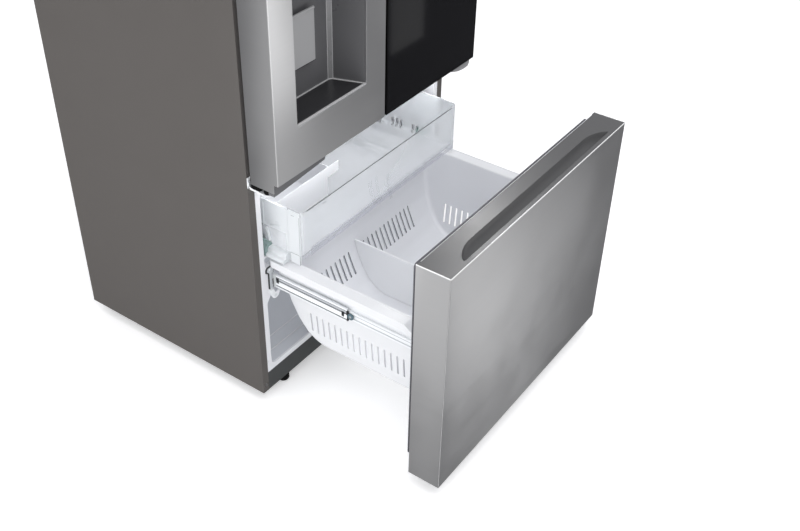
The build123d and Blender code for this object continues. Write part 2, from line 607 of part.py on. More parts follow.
DX0, DX1 = -FW + SHEET, -FRONT_GAP / 2 - SHEET
with BuildPart() as left_door_caps:
    blk(DX0, -249, -94, DOOR_Y1 - 1.6, 790.2, DOOR_Z0)
    blk(-249, DX1, -70, DOOR_Y1 - 1.6, 790.2, DOOR_Z0)
    blk(-249, DX1, DOOR_Y0 + SHEET, -70, DOOR_Z0, DOOR_Z0 + 3)
    with BuildSketch(face_plane(-74)):
        with BuildLine():
            Polyline((DX0, 779), (-249, 790), (-249, 791), (DX0, 791), close=True)
        make_face()
    extrude(amount=18)
    blk(DX0, DX1, DOOR_Y0 + SHEET, DOOR_Y1 - 1.6, 1742, DOOR_Z1)
    rod_z(789, 809, -HINGE_X, HINGE_Y, PIN_R + RUN, mode=Mode.SUBTRACT)
    rod_z(1743.6, 1753, -HINGE_X, HINGE_Y, TOP_PIN_R + RUN, mode=Mode.SUBTRACT)
left_door_caps.part.label = "left_door_caps"
export_step(left_door_caps.part, "parts/left_door_caps.step")

with BuildPart() as left_door_foam:
    blk(DX0, DX1, DOOR_Y0 + SHEET, DOOR_Y1 - 1.6, DOOR_Z0 + 3, 1742)
    blk(DX0, -249, DOOR_Y0 + SHEET, -94, DOOR_Z0, DOOR_Z0 + 3)
    blk(DX0, -249, -94, DOOR_Y1 - 1.6, DOOR_Z0, DOOR_Z0 + 3)
    blk(-249, DX1, -70, DOOR_Y1 - 1.6, DOOR_Z0, DOOR_Z0 + 3)
    blk(REC_X0 - 4, REC_X1 + 4, DOOR_Y0, DOOR_Y1, 945, PANEL_Z1 + 5, mode=Mode.SUBTRACT)
left_door_foam.part.label = "left_door_foam"
export_step(left_door_foam.part, "parts/left_door_foam.step")

with BuildPart() as left_door_liner:
    blk(DX0, DX1, DOOR_Y1 - 1.6, DOOR_Y1, 791, 1751)
    blk(-400, -64, DOOR_Y1, 30, 850, 1690)
    blk(-396, -68, DOOR_Y1, 31, 854, 1686, mode=Mode.SUBTRACT)
    blk(-382, -78, DOOR_Y1 - 1.6, 2, 938, 1490)
    blk(-380, -80, DOOR_Y1 - 3, 0.4, 940, 1488, mode=Mode.SUBTRACT)
left_door_liner.part.label = "left_door_liner"
export_step(left_door_liner.part, "parts/left_door_liner.step")

with BuildPart() as left_door_gasket:
    blk(-440, -20, DOOR_Y1, -0.5, 806, 1722)
    blk(-424, -36, DOOR_Y1 - 1, 1, 822, 1706, mode=Mode.SUBTRACT)
left_door_gasket.part.label = "left_door_gasket"
export_step(left_door_gasket.part, "parts/left_door_gasket.step")

# Dispenser well with tapering sides, and the control plate above it
with BuildPart() as dispenser_housing:
    with BuildSketch(level_plane(REC_Z0 - 3)):
        with BuildLine():
            Polyline((REC_X0 - 3, DOOR_Y0 + SHEET), (REC_X1 + 3, DOOR_Y0 + SHEET), (-118, -9), (-342, -9), close=True)
        make_face()
    extrude(amount=PANEL_Z1 + 3 - (REC_Z0 - 3))
    with BuildSketch(level_plane(REC_Z0)):
        with BuildLine():
            Polyline((REC_X0 + 0.2, DOOR_Y0), (REC_X1 - 0.2, DOOR_Y0), (-122, -12), (-338, -12), close=True)
        make_face()
    extrude(amount=REC_Z1 - REC_Z0, mode=Mode.SUBTRACT)
    blk(-345, -115, -98, -20, REC_Z1 + 3, PANEL_Z1 + 4, mode=Mode.SUBTRACT)
    blk(REC_X0 + 0.2, REC_X1 - 0.2, DOOR_Y0 - 0.4, DOOR_Y0 + SHEET, REC_Z1, PANEL_Z1 - 0.2)
    rod_z(REC_Z1 - 26, REC_Z1 + 2, -228, -58, 30)
    rod_z(REC_Z1 - 27, REC_Z1 - 2, -228, -58, 24, mode=Mode.SUBTRACT)
    rod_z(REC_Z1 - 34, REC_Z1 + 2, -228, -92, 6)
dispenser_housing.part.label = "dispenser_housing"
export_step(dispenser_housing.part, "parts/dispenser_housing.step")

with BuildPart() as drip_tray:
    with BuildSketch(level_plane(REC_Z0)):
        with BuildLine():
            Polyline((REC_X0 + 6, -106), (REC_X1 - 6, -106), (-126, -15), (-334, -15), close=True)
        make_face()
    extrude(amount=5)
    with BuildSketch(level_plane(REC_Z0 + 3.4)):
        with Locations((-230, -58)):
            RectangleRounded(196, 66, 8)
    extrude(amount=3, mode=Mode.SUBTRACT)
drip_tray.part.label = "drip_tray"
export_step(drip_tray.part, "parts/drip_tray.step")

PAD_PZ = 1182.0
with BuildPart() as dispenser_paddle:
    blk(-285, -197, -27, -23, 1041, 1180)
    rod_x(-285, -197, -25, PAD_PZ, 4)
dispenser_paddle.part.label = "dispenser_paddle"
export_step(dispenser_paddle.part, "parts/dispenser_paddle.step")

with BuildPart() as left_door_bins:
    for z, y0 in ((856, -14.6), (1105, 2.6), (1310, 2.6), (1520, -14.6)):
        blk(-395, -69, y0, 95, z, z + 80)
        blk(-392.5, -71.5, y0 + 2.5, 92.5, z + 2.5, z + 81, mode=Mode.SUBTRACT)
left_door_bins.part.label = "left_door_bins"
export_step(left_door_bins.part, "parts/left_door_bins.step")

# Hinged sealing bar on the left door, stored folded back
with BuildPart() as door_flipper:
    blk(-61, -39, 14, 104, 852, 1688)
    rod_z(852, 1688, -50, 12, 6)
door_flipper.part.label = "door_flipper"
export_step(door_flipper.part, "parts/door_flipper.step")

# ========================= right door =============================
with BuildPart() as right_door_glass:
    blk(FRONT_GAP / 2, FW, DOOR_Y0, DOOR_Y0 + 4, DOOR_Z0, DOOR_Z1)
    fillet(right_door_glass.edges().filter_by(Axis.Z).group_by(Axis.Y)[0], 1.5)
right_door_glass.part.label = "right_door_glass"
export_step(right_door_glass.part, "parts/right_door_glass.step")

GX0, GX1 = FRONT_GAP / 2 + 1.2, FW - 1.2
DOOR_SIDE_R = [(DOOR_Y0 + 4, DOOR_Z1), (DOOR_Y1, DOOR_Z1), (DOOR_Y1, 791), (-94, 790), (-94, DOOR_Z0), (DOOR_Y0 + 4, DOOR_Z0)]
with BuildPart() as right_door_frame:
    with BuildSketch(side_plane(GX1)):
        with BuildLine():
            Polyline(*DOOR_SIDE_R, close=True)
        make_face()
    extrude(amount=1.2)
    blk(FRONT_GAP / 2, GX0, DOOR_Y0 + 4, DOOR_Y1, DOOR_Z0, DOOR_Z1)
    blk(249, GX1, -94, DOOR_Y1 - 1.6, 790.2, DOOR_Z0)
    blk(GX0, 249, -70, DOOR_Y1 - 1.6, 790.2, DOOR_Z0)
    with BuildSketch(face_plane(-74)):
        with BuildLine():
            Polyline((GX1, 779), (249, 790), (249, 791), (GX1, 791), close=True)
        make_face()
    extrude(amount=18)
    blk(GX0, GX1, DOOR_Y0 + 4, DOOR_Y1 - 1.6, 1742, DOOR_Z1)
    blk(GX0, GX1, DOOR_Y0 + 4, -94, DOOR_Z0, DOOR_Z0 + 1.2)
    blk(GX0, GX1, -94, DOOR_Y1 - 1.6, DOOR_Z0, DOOR_Z0 + 1.2)
    rod_z(789, 809, HINGE_X, HINGE_Y, PIN_R + RUN, mode=Mode.SUBTRACT)
    rod_z(1743.6, 1753, HINGE_X, HINGE_Y, TOP_PIN_R + RUN, mode=Mode.SUBTRACT)
right_door_frame.part.label = "right_door_frame"
export_step(right_door_frame.part, "parts/right_door_frame.step")

with BuildPart() as right_door_foam:
    blk(GX0, GX1, DOOR_Y0 + 4, DOOR_Y1 - 1.6, DOOR_Z0 + 1.2, 1742)
right_door_foam.part.label = "right_door_foam"
export_step(right_door_foam.part, "parts/right_door_foam.step")

with BuildPart() as right_door_liner:
    blk(GX0, GX1, DOOR_Y1 - 1.6, DOOR_Y1, 791, 1751)
    blk(64, 400, DOOR_Y1, 30, 850, 1690)
    blk(68, 396, DOOR_Y1, 31, 854, 1686, mode=Mode.SUBTRACT)
right_door_liner.part.label = "right_door_liner"
export_step(right_door_liner.part, "parts/right_door_liner.step")

with BuildPart() as right_door_gasket:
    blk(20, 440, DOOR_Y1, -0.5, 806, 1722)
    blk(36, 424, DOOR_Y1 - 1, 1, 822, 1706, mode=Mode.SUBTRACT)
right_door_gasket.part.label = "right_door_gasket"
export_step(right_door_gasket.part, "parts/right_door_gasket.step")

with BuildPart() as right_door_bins:
    for z in (870, 1090, 1310, 1520):
        blk(69, 395, -14.6, 95, z, z + 95)
        blk(71.5, 392.5, -12.1, 92.5, z + 2.5, z + 96, mode=Mode.SUBTRACT)
right_door_bins.part.label = "right_door_bins"
export_step(right_door_bins.part, "parts/right_door_bins.step")

# Screw heads that show: front flange, rail bosses and hinge tabs
with BuildPart() as cabinet_screws:
    for s in (-1, 1):
        rod_y(-1.8, 0, s * 440, 66, 4.6)
        rod_y(-1.9, -0.8, s * 393, 394, 4.2)
        rod_y(-4.6, -3, s * 444, 794, 4)
        rod_y(-4.6, -3, s * 425, 794, 4)
cabinet_screws.part.label = "cabinet_screws"
export_step(cabinet_screws.part, "parts/cabinet_screws.step")
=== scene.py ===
import json
import math

import bmesh
import bpy
from mathutils import Matrix, Vector
from mathutils.geometry import tessellate_polygon


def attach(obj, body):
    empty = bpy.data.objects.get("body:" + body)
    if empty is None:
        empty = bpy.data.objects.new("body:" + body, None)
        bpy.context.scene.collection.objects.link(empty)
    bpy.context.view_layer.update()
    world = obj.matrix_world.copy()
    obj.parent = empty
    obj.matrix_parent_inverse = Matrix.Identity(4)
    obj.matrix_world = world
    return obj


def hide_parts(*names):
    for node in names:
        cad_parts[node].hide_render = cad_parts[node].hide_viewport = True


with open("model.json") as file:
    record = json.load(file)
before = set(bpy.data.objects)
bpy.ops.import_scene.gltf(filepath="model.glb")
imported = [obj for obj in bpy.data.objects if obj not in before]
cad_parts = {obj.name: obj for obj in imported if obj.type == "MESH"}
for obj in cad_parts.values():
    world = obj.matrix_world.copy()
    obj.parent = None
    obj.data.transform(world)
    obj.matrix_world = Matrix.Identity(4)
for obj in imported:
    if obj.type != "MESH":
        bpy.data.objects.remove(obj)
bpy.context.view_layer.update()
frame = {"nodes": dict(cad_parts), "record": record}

NODES = frame["nodes"]
YS = -57.0


def P(x, y, z):
    """Millimetres, y from the cabinet's front plane, to the row frame in metres."""
    return Vector((x * 0.001, (y + YS) * 0.001, z * 0.001))


# ------------------------------------------------------------------ camera
def make_camera():
    yaw, pitch, roll = math.radians(55.48978369), math.radians(37.39708279), math.radians(1.40021227)
    d = Vector((math.sin(yaw) * math.cos(pitch), math.cos(yaw) * math.cos(pitch), -math.sin(pitch)))
    r = Vector((math.cos(yaw), -math.sin(yaw), 0.0))
    u = r.cross(d)
    r2 = math.cos(roll) * r + math.sin(roll) * u
    u2 = -math.sin(roll) * r + math.cos(roll) * u
    cam = bpy.data.objects.new("camera", bpy.data.cameras.new("camera"))
    bpy.context.scene.collection.objects.link(cam)
    cam.data.sensor_fit = "HORIZONTAL"
    cam.data.sensor_width = 36.0
    cam.data.lens = 1053.740131 * 36.0 / 800.0
    cam.data.clip_start, cam.data.clip_end = 0.05, 60.0
    m = Matrix((r2, u2, -d)).transposed().to_4x4()
    m.translation = Vector((-2.09225927, -1.66439110, 2.26192596))
    cam.matrix_world = m
    bpy.context.scene.camera = cam


make_camera()


# --------------------------------------------------------------- materials
class Net:
    """A small helper that writes shader nodes."""

    def __init__(self, name):
        self.mat = bpy.data.materials.new(name)
        self.mat.use_nodes = True
        self.t = self.mat.node_tree
        self.b = self.t.nodes["Principled BSDF"]
        self.co = self.add("ShaderNodeTexCoord").outputs["Object"]

    def add(self, kind, **kw):
        n = self.t.nodes.new(kind)
        for k, v in kw.items():
            setattr(n, k, v)
        return n

    def link(self, a, b):
        self.t.links.new(a, b)

    def noise(self, scale, detail=3.0, rough=0.5, stretch=(1, 1, 1), rot=(0, 0, 0), offset=(0, 0, 0)):
        mp = self.add("ShaderNodeMapping")
        mp.inputs["Scale"].default_value = stretch
        mp.inputs["Rotation"].default_value = rot
        mp.inputs["Location"].default_value = offset
        self.link(self.co, mp.inputs["Vector"])
        n = self.add("ShaderNodeTexNoise")
        n.inputs["Scale"].default_value = scale
        n.inputs["Detail"].default_value = detail
        n.inputs["Roughness"].default_value = rough
        self.link(mp.outputs["Vector"], n.inputs["Vector"])
        return n.outputs["Fac"]

    def span(self, src, a, b, lo=0.3, hi=0.7):
        m = self.add("ShaderNodeMapRange")
        m.inputs["From Min"].default_value = lo
        m.inputs["From Max"].default_value = hi
        m.inputs["To Min"].default_value = a
        m.inputs["To Max"].default_value = b
        self.link(src, m.inputs["Value"])
        return m.outputs["Result"]

    def mix(self, fac, a, b):
        m = self.add("ShaderNodeMix", data_type="RGBA")
        m.inputs["A"].default_value = (*a, 1)
        m.inputs["B"].default_value = (*b, 1)
        self.link(fac, m.inputs["Factor"])
        return m.outputs["Result"]

    def math(self, op, a, b=None, c=None):
        n = self.add("ShaderNodeMath", operation=op)
        for i, v in enumerate((a, b, c)):
            if v is None:
                continue
            if isinstance(v, (int, float)):
                n.inputs[i].default_value = v
            else:
                self.link(v, n.inputs[i])
        return n.outputs[0]

    def bump(self, height, strength, distance=0.001):
        bm = self.add("ShaderNodeBump")
        bm.inputs["Strength"].default_value = strength
        bm.inputs["Distance"].default_value = distance
        self.link(height, bm.inputs["Height"])
        self.link(bm.outputs["Normal"], self.b.inputs["Normal"])
        return bm

    def set(self, **kw):
        for k, v in kw.items():
            self.b.inputs[k.replace("_", " ")].default_value = v
        return self


def shade(c, f):
    return tuple(min(1.0, x * f) for x in c)


def moulded(name, c, rough=0.42, vary=0.03, grain=900.0, depth=0.10, cloud=9.0, spec=0.5, coat=0.0):
    """Moulded plastic or satin paint: fine grain, faint clouding of colour and gloss."""
    n = Net(name)
    big = n.noise(cloud, 4.0, 0.55)
    n.link(n.mix(big, shade(c, 1 - vary), shade(c, 1 + vary)), n.b.inputs["Base Color"])
    fine = n.noise(grain, 2.0, 0.6)
    n.link(n.span(big, rough * 0.9, rough * 1.1), n.b.inputs["Roughness"])
    n.bump(fine, depth, 0.0004)
    n.b.inputs["Specular IOR Level"].default_value = spec
    if coat:
        n.b.inputs["Coat Weight"].default_value = coat
        n.b.inputs["Coat Roughness"].default_value = 0.12
    return n.mat


def brushed(name, c, rough=0.34, grain=(2.0, 2.0, 900.0), vary=0.05, depth=0.05, metallic=1.0, aniso=0.0):
    """Brushed sheet: long fine scratches along one direction, cloudy gloss."""
    n = Net(name)
    lines = n.noise(1.0, 5.0, 0.65, stretch=grain)
    wide = n.noise(1.0, 2.0, 0.5, stretch=tuple(g * 0.12 for g in grain), offset=(3.1, 1.7, 0.4))
    cloud = n.noise(5.0, 3.0, 0.5)
    f = n.math("ADD", n.math("MULTIPLY", lines, 0.6), n.math("MULTIPLY", wide, 0.4))
    n.link(n.mix(n.span(f, 0.0, 1.0, 0.3, 0.7), shade(c, 1 - vary), shade(c, 1 + vary)), n.b.inputs["Base Color"])
    g = n.math("ADD", n.math("MULTIPLY", lines, 0.5), n.math("MULTIPLY", cloud, 0.5))
    n.link(n.span(g, rough * 0.82, rough * 1.18), n.b.inputs["Roughness"])
    n.bump(f, depth, 0.0003)
    n.b.inputs["Metallic"].default_value = metallic
    if aniso:
        n.b.inputs["Anisotropic"].default_value = aniso
        n.b.inputs["Anisotropic Rotation"].default_value = 0.25
        tan = n.add("ShaderNodeTangent", direction_type="RADIAL", axis="Z")
        n.link(tan.outputs[0], n.b.inputs["Tangent"])
    return n.mat


def clear_plastic(name, c, rough=0.08, alpha=0.35, ior=1.49, vary=0.02):
    """Clear moulded plastic as a thin see-through shell: mostly transparent, glossy."""
    n = Net(name)
    big = n.noise(7.0, 3.0, 0.5)
    n.link(n.mix(big, shade(c, 1 - vary), c), n.b.inputs["Base Color"])
    n.link(n.span(big, rough * 0.7, rough * 1.6), n.b.inputs["Roughness"])
    n.bump(n.noise(24.0, 2.0, 0.5), 0.06, 0.002)
    n.b.inputs["IOR"].default_value = ior
    n.b.inputs["Alpha"].default_value = alpha
    n.mat.surface_render_method = "BLENDED" if hasattr(n.mat, "surface_render_method") else None
    return n.mat


MAT = {}
MAT["case"] = moulded("case_paint", (0.108, 0.100, 0.094), rough=0.40, vary=0.025, grain=1400, depth=0.05, spec=0.45)
MAT["steel"] = brushed("stainless", (0.525, 0.525, 0.53), rough=0.46, vary=0.012, depth=0.015, aniso=0.75)
MAT["cap"] = moulded("cap_grey", (0.085, 0.085, 0.087), rough=0.42, vary=0.03)
# painted shade: a darker copy of the white moulding for inner faces, standing in for the shade inside the tubs
MAT["white_in_painted_shade"] = moulded("moulded_white_inside_painted_shade", (0.73, 0.74, 0.77), rough=0.38, vary=0.012, grain=700, depth=0.04)
# painted shade: slot walls coloured dark and grey in place of the shade inside the slots
MAT["slot_wall_painted_shade_dark"] = moulded("slot_wall_painted_shade", (0.050, 0.050, 0.060), rough=0.5, spec=0.3)
MAT["slot_grey_painted_shade"] = moulded("slot_wall_outer_painted_shade", (0.74, 0.74, 0.745), rough=0.5)
MAT["white"] = moulded("moulded_white", (0.79, 0.80, 0.82), rough=0.36, vary=0.012, grain=700, depth=0.04)
MAT["liner"] = moulded("liner_white", (0.80, 0.805, 0.83), rough=0.30, vary=0.012, grain=500, depth=0.03)
MAT["cover"] = moulded("cover_white", (0.78, 0.79, 0.81), rough=0.45, vary=0.015, grain=900, depth=0.08)
MAT["foam"] = moulded("insulation_foam", (0.75, 0.66, 0.40), rough=0.9, vary=0.10, grain=260, depth=0.5, cloud=30)
MAT["base_dark"] = moulded("base_rail_paint", (0.062, 0.066, 0.066), rough=0.42, vary=0.05)
MAT["rail_light"] = moulded("centre_rail_paint", (0.60, 0.60, 0.66), rough=0.38, vary=0.02)
MAT["galv"] = brushed("galvanised", (0.55, 0.56, 0.57), rough=0.45, grain=(30, 30, 30), vary=0.10)
MAT["pan"] = brushed("galvanised_pan", (0.40, 0.41, 0.42), rough=0.5, grain=(25, 25, 25), vary=0.10)
MAT["nylon"] = moulded("roller_nylon", (0.05, 0.05, 0.05), rough=0.5)
MAT["foot"] = moulded("foot_black", (0.004, 0.004, 0.004), rough=0.5, vary=0.1, spec=0.25)
MAT["coil"] = brushed("coil_aluminium", (0.75, 0.76, 0.77), rough=0.35, grain=(60, 60, 60))
MAT["motor"] = moulded("motor_grey", (0.25, 0.26, 0.27), rough=0.4)
MAT["fan"] = moulded("fan_plastic", (0.62, 0.63, 0.65), rough=0.4)
MAT["black_paint"] = moulded("black_paint", (0.018, 0.018, 0.018), rough=0.32, vary=0.1)
MAT["grille"] = moulded("rear_grille", (0.16, 0.16, 0.165), rough=0.5)
MAT["inlet"] = moulded("inlet_black", (0.015, 0.015, 0.015), rough=0.45)
MAT["hinge"] = brushed("hinge_steel", (0.22, 0.22, 0.23), rough=0.4, grain=(20, 300, 20))
MAT["hinge_cover"] = moulded("hinge_cover", (0.13, 0.122, 0.118), rough=0.42)
MAT["zinc"] = brushed("zinc_plate", (0.56, 0.575, 0.585), rough=0.26, grain=(300, 6, 300), vary=0.05, metallic=0.35)
MAT["washer"] = moulded("washer_black", (0.003, 0.003, 0.003), rough=0.5, spec=0.15)
MAT["shelf"] = clear_plastic("shelf_glass", (0.80, 0.92, 0.90), rough=0.03, alpha=0.28, ior=1.52)
MAT["crisper"] = clear_plastic("crisper_clear", (0.88, 0.92, 0.94), alpha=0.34)
MAT["tray"] = clear_plastic("tray_clear", (0.90, 0.925, 0.95), alpha=0.30)
MAT["bin"] = clear_plastic("bin_clear", (0.88, 0.92, 0.94), alpha=0.36)
MAT["gasket"] = moulded("gasket_grey", (0.115, 0.115, 0.13), rough=0.55)
MAT["dispenser"] = moulded("dispenser_satin", (0.105, 0.105, 0.110), rough=0.30, vary=0.03)
MAT["drip"] = moulded("drip_dark", (0.022, 0.022, 0.024), rough=0.34, vary=0.06)
MAT["paddle"] = moulded("paddle_grey", (0.35, 0.35, 0.355), rough=0.32)
MAT["flipper"] = moulded("flipper_white", (0.74, 0.75, 0.77), rough=0.42)
MAT["glass_black"] = moulded("tinted_glass", (0.006, 0.006, 0.0075), rough=0.10, vary=0.05, grain=60, depth=0.005, spec=0.16)
MAT["frame_black"] = moulded("frame_black", (0.012, 0.012, 0.013), rough=0.35)
MAT["clip"] = moulded("clip_black", (0.015, 0.017, 0.02), rough=0.38)
MAT["screw"] = brushed("screw_steel", (0.60, 0.60, 0.60), rough=0.28, grain=(400, 20, 400))

MAT["tray_frost"] = clear_plastic("tray_frosted", (0.86, 0.89, 0.91), rough=0.32, alpha=0.72)
# painted shade: dark, grey and faint lilac strips laid on the clear tray for the shade along its edges and lower front
MAT["tray_painted_edge_shade"] = clear_plastic("tray_edge_painted_shade", (0.10, 0.115, 0.12), rough=0.25, alpha=0.80)
MAT["zinc_light"] = brushed("zinc_pale", (0.72, 0.745, 0.745), rough=0.30, grain=(200, 6, 200), vary=0.04, metallic=0.25)
MAT["roller"] = moulded("roller_blue_grey", (0.10, 0.16, 0.19), rough=0.35)
# painted shade: a darker copy of the liner white for the freezer floor
MAT["cavity_floor_painted_shade"] = moulded("cavity_floor_painted_shade", (0.60, 0.62, 0.66), rough=0.35, vary=0.02)
# painted highlights: near-white on the drawer skin's top fold, grey on the front-left corners of drawer and door
MAT["bright_fold_painted_highlight"] = moulded("fold_painted_highlight", (0.90, 0.90, 0.90), rough=0.25, vary=0.01)
MAT["corner_painted_highlight"] = moulded("corner_painted_highlight", (0.60, 0.60, 0.60), rough=0.25, vary=0.01)
# painted shade: a dark plate whose rim round the bracket face stands in for its shaded edges
MAT["bracket_painted_shade_edge"] = moulded("bracket_outline_painted_shade", (0.040, 0.044, 0.046), rough=0.45, vary=0.02)
MAT["bracket_face"] = moulded("bracket_face", (0.60, 0.63, 0.65), rough=0.35, vary=0.02)
# lit and shaded copies of the rail zinc: white for painted highlights on lips, dark for painted shade in grooves, grey
# for the web and painted shade lines, pale lightened as painted light under the flange
MAT["rail_white_and_painted_highlight"] = moulded("rail_lip_painted_highlight", (0.92, 0.94, 0.96), rough=0.22, vary=0.02, grain=300)
MAT["rail_painted_shade"] = moulded("rail_groove_painted_shade", (0.150, 0.158, 0.170), rough=0.4, vary=0.04, grain=300)
MAT["rail_grey_and_painted_shade"] = moulded("rail_web_grey_and_painted_shade", (0.50, 0.52, 0.545), rough=0.3, vary=0.03, grain=300)
MAT["rail_pale_and_painted_light"] = moulded("rail_pale_and_painted_light", (0.86, 0.88, 0.90), rough=0.3, vary=0.02, grain=300)
MAT["tray_painted_shade_line"] = clear_plastic("tray_soft_painted_shade_line", (0.36, 0.39, 0.40), rough=0.25, alpha=0.70)
MAT["tray_painted_shade_band"] = clear_plastic("tray_lower_painted_shade_band", (0.60, 0.61, 0.72), rough=0.35, alpha=0.11)
# painted shade: a teal block standing in for the shadowed gap behind the basket flange under the tray
MAT["painted_shade_teal"] = clear_plastic("tray_corner_painted_shade", (0.30, 0.42, 0.40), rough=0.35, alpha=0.80)

NODE_MAT = {
    "cabinet_shell": "case", "cabinet_back_panel": "galv", "base_rail": "base_dark", "centre_rail": "rail_light",
    "base_pan": "pan", "rear_rollers": "nylon", "front_feet": "foot", "fridge_liner": "liner", "freezer_liner": "liner",
    "cabinet_foam": "foam", "evaporator_cover": "cover", "evaporator_coil": "coil", "fan_motors": "motor",
    "evaporator_fan": "fan", "condenser_fan": "fan", "air_duct_cover": "cover", "compressor": "black_paint",
    "condenser_coil": "black_paint", "machine_room_cover": "grille", "power_inlet": "inlet",
    "hinge_brackets": "zinc", "top_hinge_covers": "hinge_cover", "ice_maker": "cover", "ice_bin": "white",
    "hinge_washers": "washer", "fridge_shelves": "shelf", "crisper_cover": "crisper", "crisper_left": "crisper",
    "crisper_right": "crisper", "pantry_drawer": "crisper", "rail_cabinet_members": "zinc", "rail_brackets": "zinc",
    "rail_middle_members": "zinc", "rail_clips": "clip", "rail_drawer_members": "zinc", "drawer_panel": "steel",
    "drawer_caps": "cap", "drawer_foam": "foam", "drawer_inner_panel": "cover",
    "drawer_gasket": "gasket", "freezer_basket": "white", "basket_divider": "white", "freezer_tray": "tray",
    "left_door_panel": "steel", "left_door_caps": "cap", "left_door_foam": "foam", "left_door_liner": "cover",
    "left_door_gasket": "gasket", "dispenser_housing": "dispenser", "drip_tray": "drip", "dispenser_paddle": "paddle",
    "left_door_bins": "bin", "door_flipper": "flipper", "right_door_glass": "glass_black",
    "right_door_frame": "frame_black", "right_door_foam": "foam", "right_door_liner": "cover",
    "right_door_gasket": "gasket", "right_door_bins": "bin", "cabinet_screws": "screw",
}
BODY = {n: b for b, ns in frame["record"]["behaviour"]["bodies"].items() for n in ns}


def dress(node, key):
    me = NODES[node].data
    me.materials.clear()
    me.materials.append(MAT[key])


for _n, _k in NODE_MAT.items():
    dress(_n, _k)


def soften(node, width, segments=2, angle=35):
    """Small radii on a CAD node's sharp edges."""
    o = NODES[node]
    w = o.modifiers.new("weld", "WELD")
    w.merge_threshold = 0.00002
    b = o.modifiers.new("edge", "BEVEL")
    b.width = width * 0.001
    b.segments = segments
    b.limit_method = "ANGLE"
    b.angle_limit = math.radians(angle)
    b.harden_normals = True
    b.use_clamp_overlap = True


for _n, _w in (("cabinet_shell", 0.4), ("base_rail", 0.4), ("rail_cabinet_members", 0.4),
               ("cabinet_screws", 0.6), ("front_feet", 0.8)):
    soften(_n, _w)


# ------------------------------------------------------------ mesh helpers
COLL = bpy.context.scene.collection


def rounded(pts, radii, seg=6, closed=True):
    """A 2-D outline with its corners rounded; radii is one number or one per point."""
    n = len(pts)
    if isinstance(radii, (int, float)):
        radii = [radii] * n
    out = []
    for i, (p, r) in enumerate(zip(pts, radii)):
        if r <= 0 or (not closed and i in (0, n - 1)):
            out.append(tuple(p))
            continue
        b = Vector(p)
        u, v = Vector(pts[i - 1]) - b, Vector(pts[(i + 1) % n]) - b
        lu, lv = u.length, v.length
        u.normalize()
        v.normalize()
        ang = u.angle(v)
        if ang > math.pi - 0.01:
            out.append(tuple(p))
            continue
        t = min(r / math.tan(ang / 2), lu * 0.49, lv * 0.49)
        rr = t * math.tan(ang / 2)
        c = b + (u + v).normalized() * (rr / math.sin(ang / 2))
        s0, s1 = b + u * t - c, b + v * t - c
        sgn = 1 if s0.x * s1.y - s0.y * s1.x > 0 else -1
        sweep = math.pi - ang
        k = max(2, int(math.ceil(seg * sweep / (math.pi / 2))))
        for j in range(k + 1):
            th = sgn * sweep * j / k
            cc, ss = math.cos(th), math.sin(th)
            out.append((c.x + s0.x * cc - s0.y * ss, c.y + s0.x * ss + s0.y * cc))
    return out


def rect(u0, u1, v0, v1, r=0.0, seg=6):
    pts = [(u0, v0), (u1, v0), (u1, v1), (u0, v1)]
    return rounded(pts, r, seg) if r else pts


def slot_outline(u, v, w, h, seg=5):
    """Vertical round-ended slot centred at u, v."""
    return rect(u - w / 2, u + w / 2, v - h / 2, v + h / 2, w / 2 * 0.98, seg)


